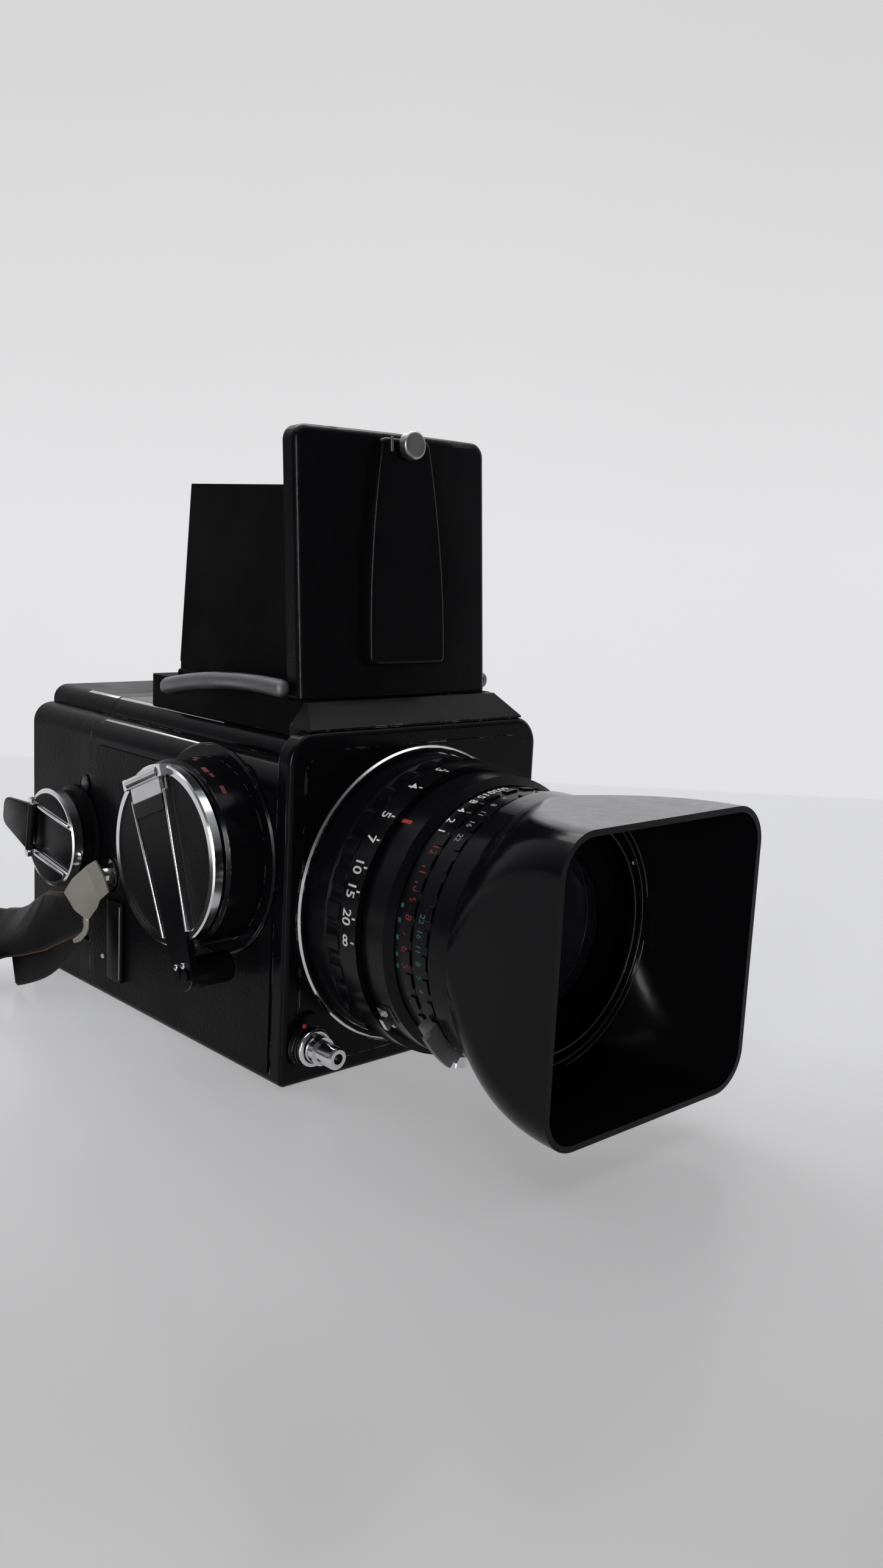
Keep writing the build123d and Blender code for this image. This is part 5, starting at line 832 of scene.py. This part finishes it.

# Painted highlights: bright lines along the edges of deck and shoulder, each thinning out towards one end
# (-1 front, 1 rear): name, body, centre and radius of the edge's rounding, its slope, first and last station,
# width, thin end
HIGHLIGHT_LINES = (
    ("deck_edge_highlight", "camera", 32.2, 85.2, 4.5, 22, -10.0, 44.6, 1.3, -1),
    ("magazine_edge_highlight", "magazine", 32.2, 85.2, 4.5, 22, 45.8, 63.0, 1.3, 1),
    ("shoulder_edge_highlight", "camera", 37.5, 78.3, 6.0, 28, -10.5, 41.8, 0.8, -1),
)
HIGHLIGHT_LINE_HEIGHT = 0.3
THIN_END_SHARE = 0.35
for word, body, centre_x, centre_z, radius, slope, first, last, width, thin_end in HIGHLIGHT_LINES:
    lean = radians(slope)
    for side, hand in ((-1, "left"), (1, "right")):
        edge_place = (side * (centre_x + radius * sin(lean)), (first + last) / 2,
                      centre_z + radius * cos(lean))
        edge_plane = working_plane(edge_place, (cos(lean), 0, -side * sin(lean)), (0, 1, 0))
        rounded_bar((width, last - first, HIGHLIGHT_LINE_HEIGHT), (0, 0, 0), THIN_EDGE)
        edit_all()
        select_faces(lambda middle, normal: normal.y * thin_end > 0.9)
        bpy.ops.transform.resize(value=(THIN_END_SHARE, 1, 1))
        bpy.ops.object.mode_set(mode="OBJECT")
        settle(word + "_" + hand, edge_plane, body, HIGHLIGHT_METAL)

# Red dot on the release lever and the bright slot beside the cover's knob
RELEASE_DOT_PLACE = (-38.4, 17.9, 1.75)
COVER_SLOT_PLACE = (-5.4, 64.8, 3.05)
button(0.6, 0.3, RELEASE_DOT_PLACE, 0.1)
settle("release_dot", FRONT, "release_lock", RED_MARK)
rounded_bar((0.9, 3.8, 0.5), COVER_SLOT_PLACE, 0.2)
settle("cover_slot", COVER_FACE, "camera", GREY)

# Bright heads of the three screws in the shade's floor
SHADE_HOLE_Y = -102.6
SHADE_FLOOR_Y = -103.2
SHADE_SCREW_Y = -103.1
SHADE_SCREWS = 3
SHADE_SCREW_CIRCLE = 31.5
for index in range(SHADE_SCREWS):
    turned = radians(30 + 360 / SHADE_SCREWS * index)
    screw_place = (SHADE_SCREW_CIRCLE * cos(turned), SHADE_SCREW_CIRCLE * sin(turned), -SHADE_SCREW_Y)
    button(SCREW_RADIUS, 0.7, screw_place, 0.25)
    settle("shade_screw_%d" % index, LENS_FRONT, "lens_shade", SATIN)


# Bright rims inside the shade, painted highlights on the edges of its floor and hole, and the black face of
# the mount ring that leaves only its bright edge
def rim(name, outer, inner, height, station, body, material):
    """Thin ring round the lens axis with soft edges, standing on a face of the lens."""
    washer(outer, inner, height, (0, 0, -station))
    edit_all()
    bpy.ops.mesh.bevel(offset=THIN_EDGE * MM, segments=2, affect="EDGES")
    settle(name, LENS_FRONT, body, material)


MOUNT_FACE_Y = -53.0
rim("shade_hole_rim", 30.2, 29.7, 0.35, SHADE_HOLE_Y, "lens_shade", HIGHLIGHT_METAL)
rim("shade_floor_rim", 34.3, 33.9, 0.35, SHADE_FLOOR_Y, "lens_shade", HIGHLIGHT_METAL)
rim("shade_inner_rim", 33.0, 32.7, 0.3, SHADE_HOLE_Y, "lens_shade", HIGHLIGHT_METAL)
rim("mount_face", 39.7, 38.5, 0.2, MOUNT_FACE_Y, "camera", ENAMEL_SATIN)


# Figures and lines painted round the rings of the lens: a figure's capital height is this share of its size
CAPITAL_SHARE = 0.72
MARK_LIFT = 0.07


def wrap_round(radius, angle, station, turned=False):
    """Bends the active flat mark round the lens axis: its right runs round the ring, its top to the front."""
    piece = bpy.context.object
    for vertex in piece.data.vertices:
        across, up = vertex.co.x, vertex.co.y
        if turned:
            across, up = -up, across
        place = radians(angle) + across / (radius * MM)
        reach = (radius + MARK_LIFT) * MM
        vertex.co = (reach * cos(place), station * MM - up, LENS_Z * MM + reach * sin(place))


def figure(text, height):
    """Flat figure in the middle of its plane, as a mesh."""
    fresh()
    bpy.ops.object.text_add(location=(0, 0, 0))
    words = bpy.context.object.data
    words.body = text
    words.size = height / CAPITAL_SHARE * MM
    words.align_x = "CENTER"
    words.align_y = "CENTER"
    words.resolution_u = 4
    words.offset = 0.02 * height * MM
    bpy.ops.object.convert(target="MESH")


def ring_marks(name, body, material, radius, figures=(), strokes=()):
    """One mesh of all the marks of one colour on one ring. A figure is its text, angle, station and height,
    a stroke its angle, station, width and length towards the front."""
    made = []
    for text, angle, station, height in figures:
        lying = text == "lying 8"
        figure("8" if lying else text, height)
        wrap_round(radius, angle, station, lying)
        made.append(bpy.context.object)
    for angle, station, width, length in strokes:
        flat_mark(width, length, steps=2)
        wrap_round(radius, angle, station)
        made.append(bpy.context.object)
    fresh()
    for piece in made:
        piece.select_set(True)
    bpy.context.view_layer.objects.active = made[0]
    bpy.ops.object.join()
    piece = bpy.context.object
    piece.name = name
    piece.data.materials.clear()
    piece.data.materials.append(material)
    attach(piece, body)


def spaced(texts, angles, station, height):
    """Figures of one height on one station, each at its angle."""
    return [(text, angle, station, height) for text, angle in zip(texts.split(), angles)]


DISTANCE_TEXTS = ("lying 8", "20", "15", "10", "7", "5", "4", "3")
DISTANCE_ANGLES = (184.0, 175.0, 165.0, 156.0, 145.0, 134.5, 118.5, 104.6)
ring_marks("distance_figures", "focus", WHITE_MARK, FOCUS_RADIUS,
           [(text, angle, -68.8, 3.0) for text, angle in zip(DISTANCE_TEXTS, DISTANCE_ANGLES)],
           [(angle, -71.5, 0.45, 1.2) for angle in DISTANCE_ANGLES])
ring_marks("index_line", "barrel", RED_MARK, INDEX_RADIUS, strokes=[(133.5, -74.6, 1.1, 3.4)])
ring_marks("speed_figures", "shutter", WHITE_MARK, SHUTTER_RADIUS,
           spaced("1 2 4 8 15 30 60", (131, 125, 118, 111, 105, 99, 93.5), -83.8, 2.3))
ring_marks("speed_second_row", "shutter", PALE_MARK, SHUTTER_RADIUS,
           spaced("4 5 8 11 16", (132, 124, 118, 112, 106), -86.5, 1.6))
ring_marks("value_figures", "shutter", DARK_RED_MARK, SHUTTER_RADIUS,
           spaced("12 11 10 9 8 7 6 5 4 3", (140, 149, 156, 162, 169, 176, 182, 189, 196, 206), -85.7, 2.2))
ring_marks("value_dots", "shutter", GREEN_MARK, SHUTTER_RADIUS,
           strokes=[(angle, -83.0, 1.1, 0.9) for angle in (165, 171, 178, 185, 190)])
ring_marks("aperture_figures", "aperture", GREEN_MARK, SHUTTER_RADIUS,
           spaced("22 16 11 8 5 4", (168, 174, 180, 186, 192, 198), -90.2, 1.7))
ring_marks("aperture_second_row", "aperture", PALE_MARK, SHUTTER_RADIUS,
           spaced("22 16 11 8 5", (132, 124, 117, 110, 103), -90.2, 1.7))


# Stage: a glossy pale table with a paler wall behind it
def flat_sheet(name, corners, material):
    """Rectangle of the stage from its corners in metres."""
    mesh = bpy.data.meshes.new(name)
    mesh.from_pydata(corners, [], [(0, 1, 2, 3)])
    sheet = bpy.data.objects.new(name, mesh)
    bpy.context.scene.collection.objects.link(sheet)
    mesh.materials.append(material)


def stage_paint(name, roughness, light, dark, shown_light, shown_dark, share, way, start, stop):
    """Pale paint of the table and the wall, with painted shade: lighter to darker along a way. The camera,
    and what mirrors or refracts it, sees a share of the shown colour in place of the lit one, so that no
    light is added."""
    material, tree, shader, coordinates = shader_tree(name)
    place = tree.nodes.new("ShaderNodeVectorMath")
    place.operation = "DOT_PRODUCT"
    place.inputs[1].default_value = way
    tree.links.new(coordinates, place.inputs[0])
    drift = spread(tree, noise(tree, coordinates, 1.6, 3.0), -0.06, 0.06)
    shade = maths(tree, "ADD", spread(tree, place.outputs["Value"], 0.0, 1.0, start, stop), drift)
    shade.node.use_clamp = True
    tree.links.new(mix_colours(tree, shade, light, dark), shader.inputs["Base Color"])
    shader.inputs["Roughness"].default_value = roughness
    rays = tree.nodes.new("ShaderNodeLightPath")
    seen = maths(tree, "MAXIMUM", rays.outputs["Is Camera Ray"], rays.outputs["Is Glossy Ray"])
    seen = maths(tree, "MAXIMUM", seen, rays.outputs["Is Transmission Ray"])
    glow = tree.nodes.new("ShaderNodeEmission")
    tree.links.new(mix_colours(tree, shade, shown_light, shown_dark), glow.inputs["Color"])
    blend = tree.nodes.new("ShaderNodeMixShader")
    tree.links.new(maths(tree, "MULTIPLY", seen, share), blend.inputs["Fac"])
    tree.links.new(shader.outputs["BSDF"], blend.inputs[1])
    tree.links.new(glow.outputs["Emission"], blend.inputs[2])
    tree.links.new(blend.outputs["Shader"], tree.nodes["Material Output"].inputs["Surface"])
    return material


# Place, turn and focal length of the view, and the stage's reach from it in metres
CAMERA_PLACE = Vector((-241.5, -313.9, 140.1)) * MM
CAMERA_YAW = radians(43.51)
CAMERA_PITCH = radians(10.09)
CAMERA_ROLL = radians(2.90)
IMAGE_HEIGHT = 2576
FOCAL_PIXELS = 2241.5
SENSOR_HEIGHT = 36.0
TABLE_BEHIND = 0.6
TABLE_REACH = 0.81
TABLE_HALF = 1.6
WALL_REACH = 1.75
WALL_HALF = 3.0
WALL_FOOT = -0.9
WALL_HEIGHT = 3.4

upwards = Vector(UPWARDS)
ahead = Vector((sin(CAMERA_YAW), cos(CAMERA_YAW), 0))
aside = Vector((cos(CAMERA_YAW), -sin(CAMERA_YAW), 0))
origin = Vector((CAMERA_PLACE.x, CAMERA_PLACE.y, 0))
table_edge = origin + ahead * TABLE_REACH
table_start = origin - ahead * TABLE_BEHIND
wall_foot = origin + ahead * WALL_REACH + upwards * WALL_FOOT
wall_top = wall_foot + upwards * WALL_HEIGHT
# Painted shade: the table darkens towards the camera, the wall towards its top
table_paint = stage_paint("table_gloss", 0.2, light=(0.66, 0.66, 0.67), dark=(0.45, 0.445, 0.45),
                          shown_light=(0.70, 0.70, 0.715), shown_dark=(0.44, 0.435, 0.44),
                          share=0.55, way=ahead, start=0.0, stop=-0.24)
wall_paint = stage_paint("wall_paint", 0.8, light=(0.80, 0.80, 0.80), dark=(0.70, 0.70, 0.70),
                         shown_light=(0.82, 0.82, 0.835), shown_dark=(0.67, 0.67, 0.67),
                         share=0.92, way=upwards, start=0.15, stop=0.85)
flat_sheet("table", [table_start - aside * TABLE_HALF, table_start + aside * TABLE_HALF,
                     table_edge + aside * TABLE_HALF, table_edge - aside * TABLE_HALF], table_paint)
flat_sheet("wall", [wall_foot - aside * WALL_HALF, wall_foot + aside * WALL_HALF,
                    wall_top + aside * WALL_HALF, wall_top - aside * WALL_HALF], wall_paint)


def area_light(name, place, target, size, power, colour=(1.0, 1.0, 1.0)):
    """Soft rectangular lamp that faces a point, its power in watts."""
    lamp = bpy.data.lights.new(name, "AREA")
    lamp.shape = "RECTANGLE"
    lamp.size = size[0]
    lamp.size_y = size[1]
    lamp.energy = power
    lamp.color = colour
    holder = bpy.data.objects.new(name, lamp)
    holder.location = place
    holder.rotation_euler = (Vector(target) - Vector(place)).to_track_quat("-Z", "Y").to_euler()
    bpy.context.scene.collection.objects.link(holder)


area_light("window", (0.75, 0.98, 1.4), (0, 0, 0.05), (1.7, 1.3), 27.0)
area_light("ceiling", (0.1, 0.2, 1.7), (0.1, 0.1, 0), (2.4, 2.2), 17.0, (0.98, 0.99, 1.0))
area_light("side_strip", (-1.5, -0.85, 0.38), (0, 0, 0.08), (0.22, 0.76), 11.0)

# Room light: brighter above and beyond the table than behind the camera
BRIGHT_SIDE = (0.60, 0.63, 0.50)
ROOM_COLOUR = (0.94, 0.96, 1.0, 1.0)
world = bpy.data.worlds.new("room")
bpy.context.scene.world = world
world.use_nodes = True
room = world.node_tree
direction_in = room.nodes.new("ShaderNodeTexCoord").outputs["Generated"]
facing = room.nodes.new("ShaderNodeVectorMath")
facing.operation = "DOT_PRODUCT"
facing.inputs[1].default_value = BRIGHT_SIDE
room.links.new(direction_in, facing.inputs[0])
strength = spread(room, facing.outputs["Value"], 0.08, 0.85, start=0.0, stop=0.9)
room.nodes["Background"].inputs["Color"].default_value = ROOM_COLOUR
room.links.new(strength, room.nodes["Background"].inputs["Strength"])

# Camera at the photograph's place
lens = bpy.data.cameras.new("view")
lens.sensor_fit = "VERTICAL"
lens.sensor_height = SENSOR_HEIGHT
lens.lens = FOCAL_PIXELS / IMAGE_HEIGHT * SENSOR_HEIGHT
lens.clip_start = 0.01
lens.clip_end = 20.0
view = bpy.data.objects.new("view", lens)
direction = ahead * cos(CAMERA_PITCH) - upwards * sin(CAMERA_PITCH)
upright = aside.cross(direction)
right = aside * cos(CAMERA_ROLL) + upright * sin(CAMERA_ROLL)
up = upright * cos(CAMERA_ROLL) - aside * sin(CAMERA_ROLL)
view.matrix_world = Matrix((
    (right.x, up.x, -direction.x, CAMERA_PLACE.x),
    (right.y, up.y, -direction.y, CAMERA_PLACE.y),
    (right.z, up.z, -direction.z, CAMERA_PLACE.z),
    (0, 0, 0, 1)))
bpy.context.scene.collection.objects.link(view)
bpy.context.scene.camera = view
bpy.context.scene.view_settings.view_transform = "Standard"
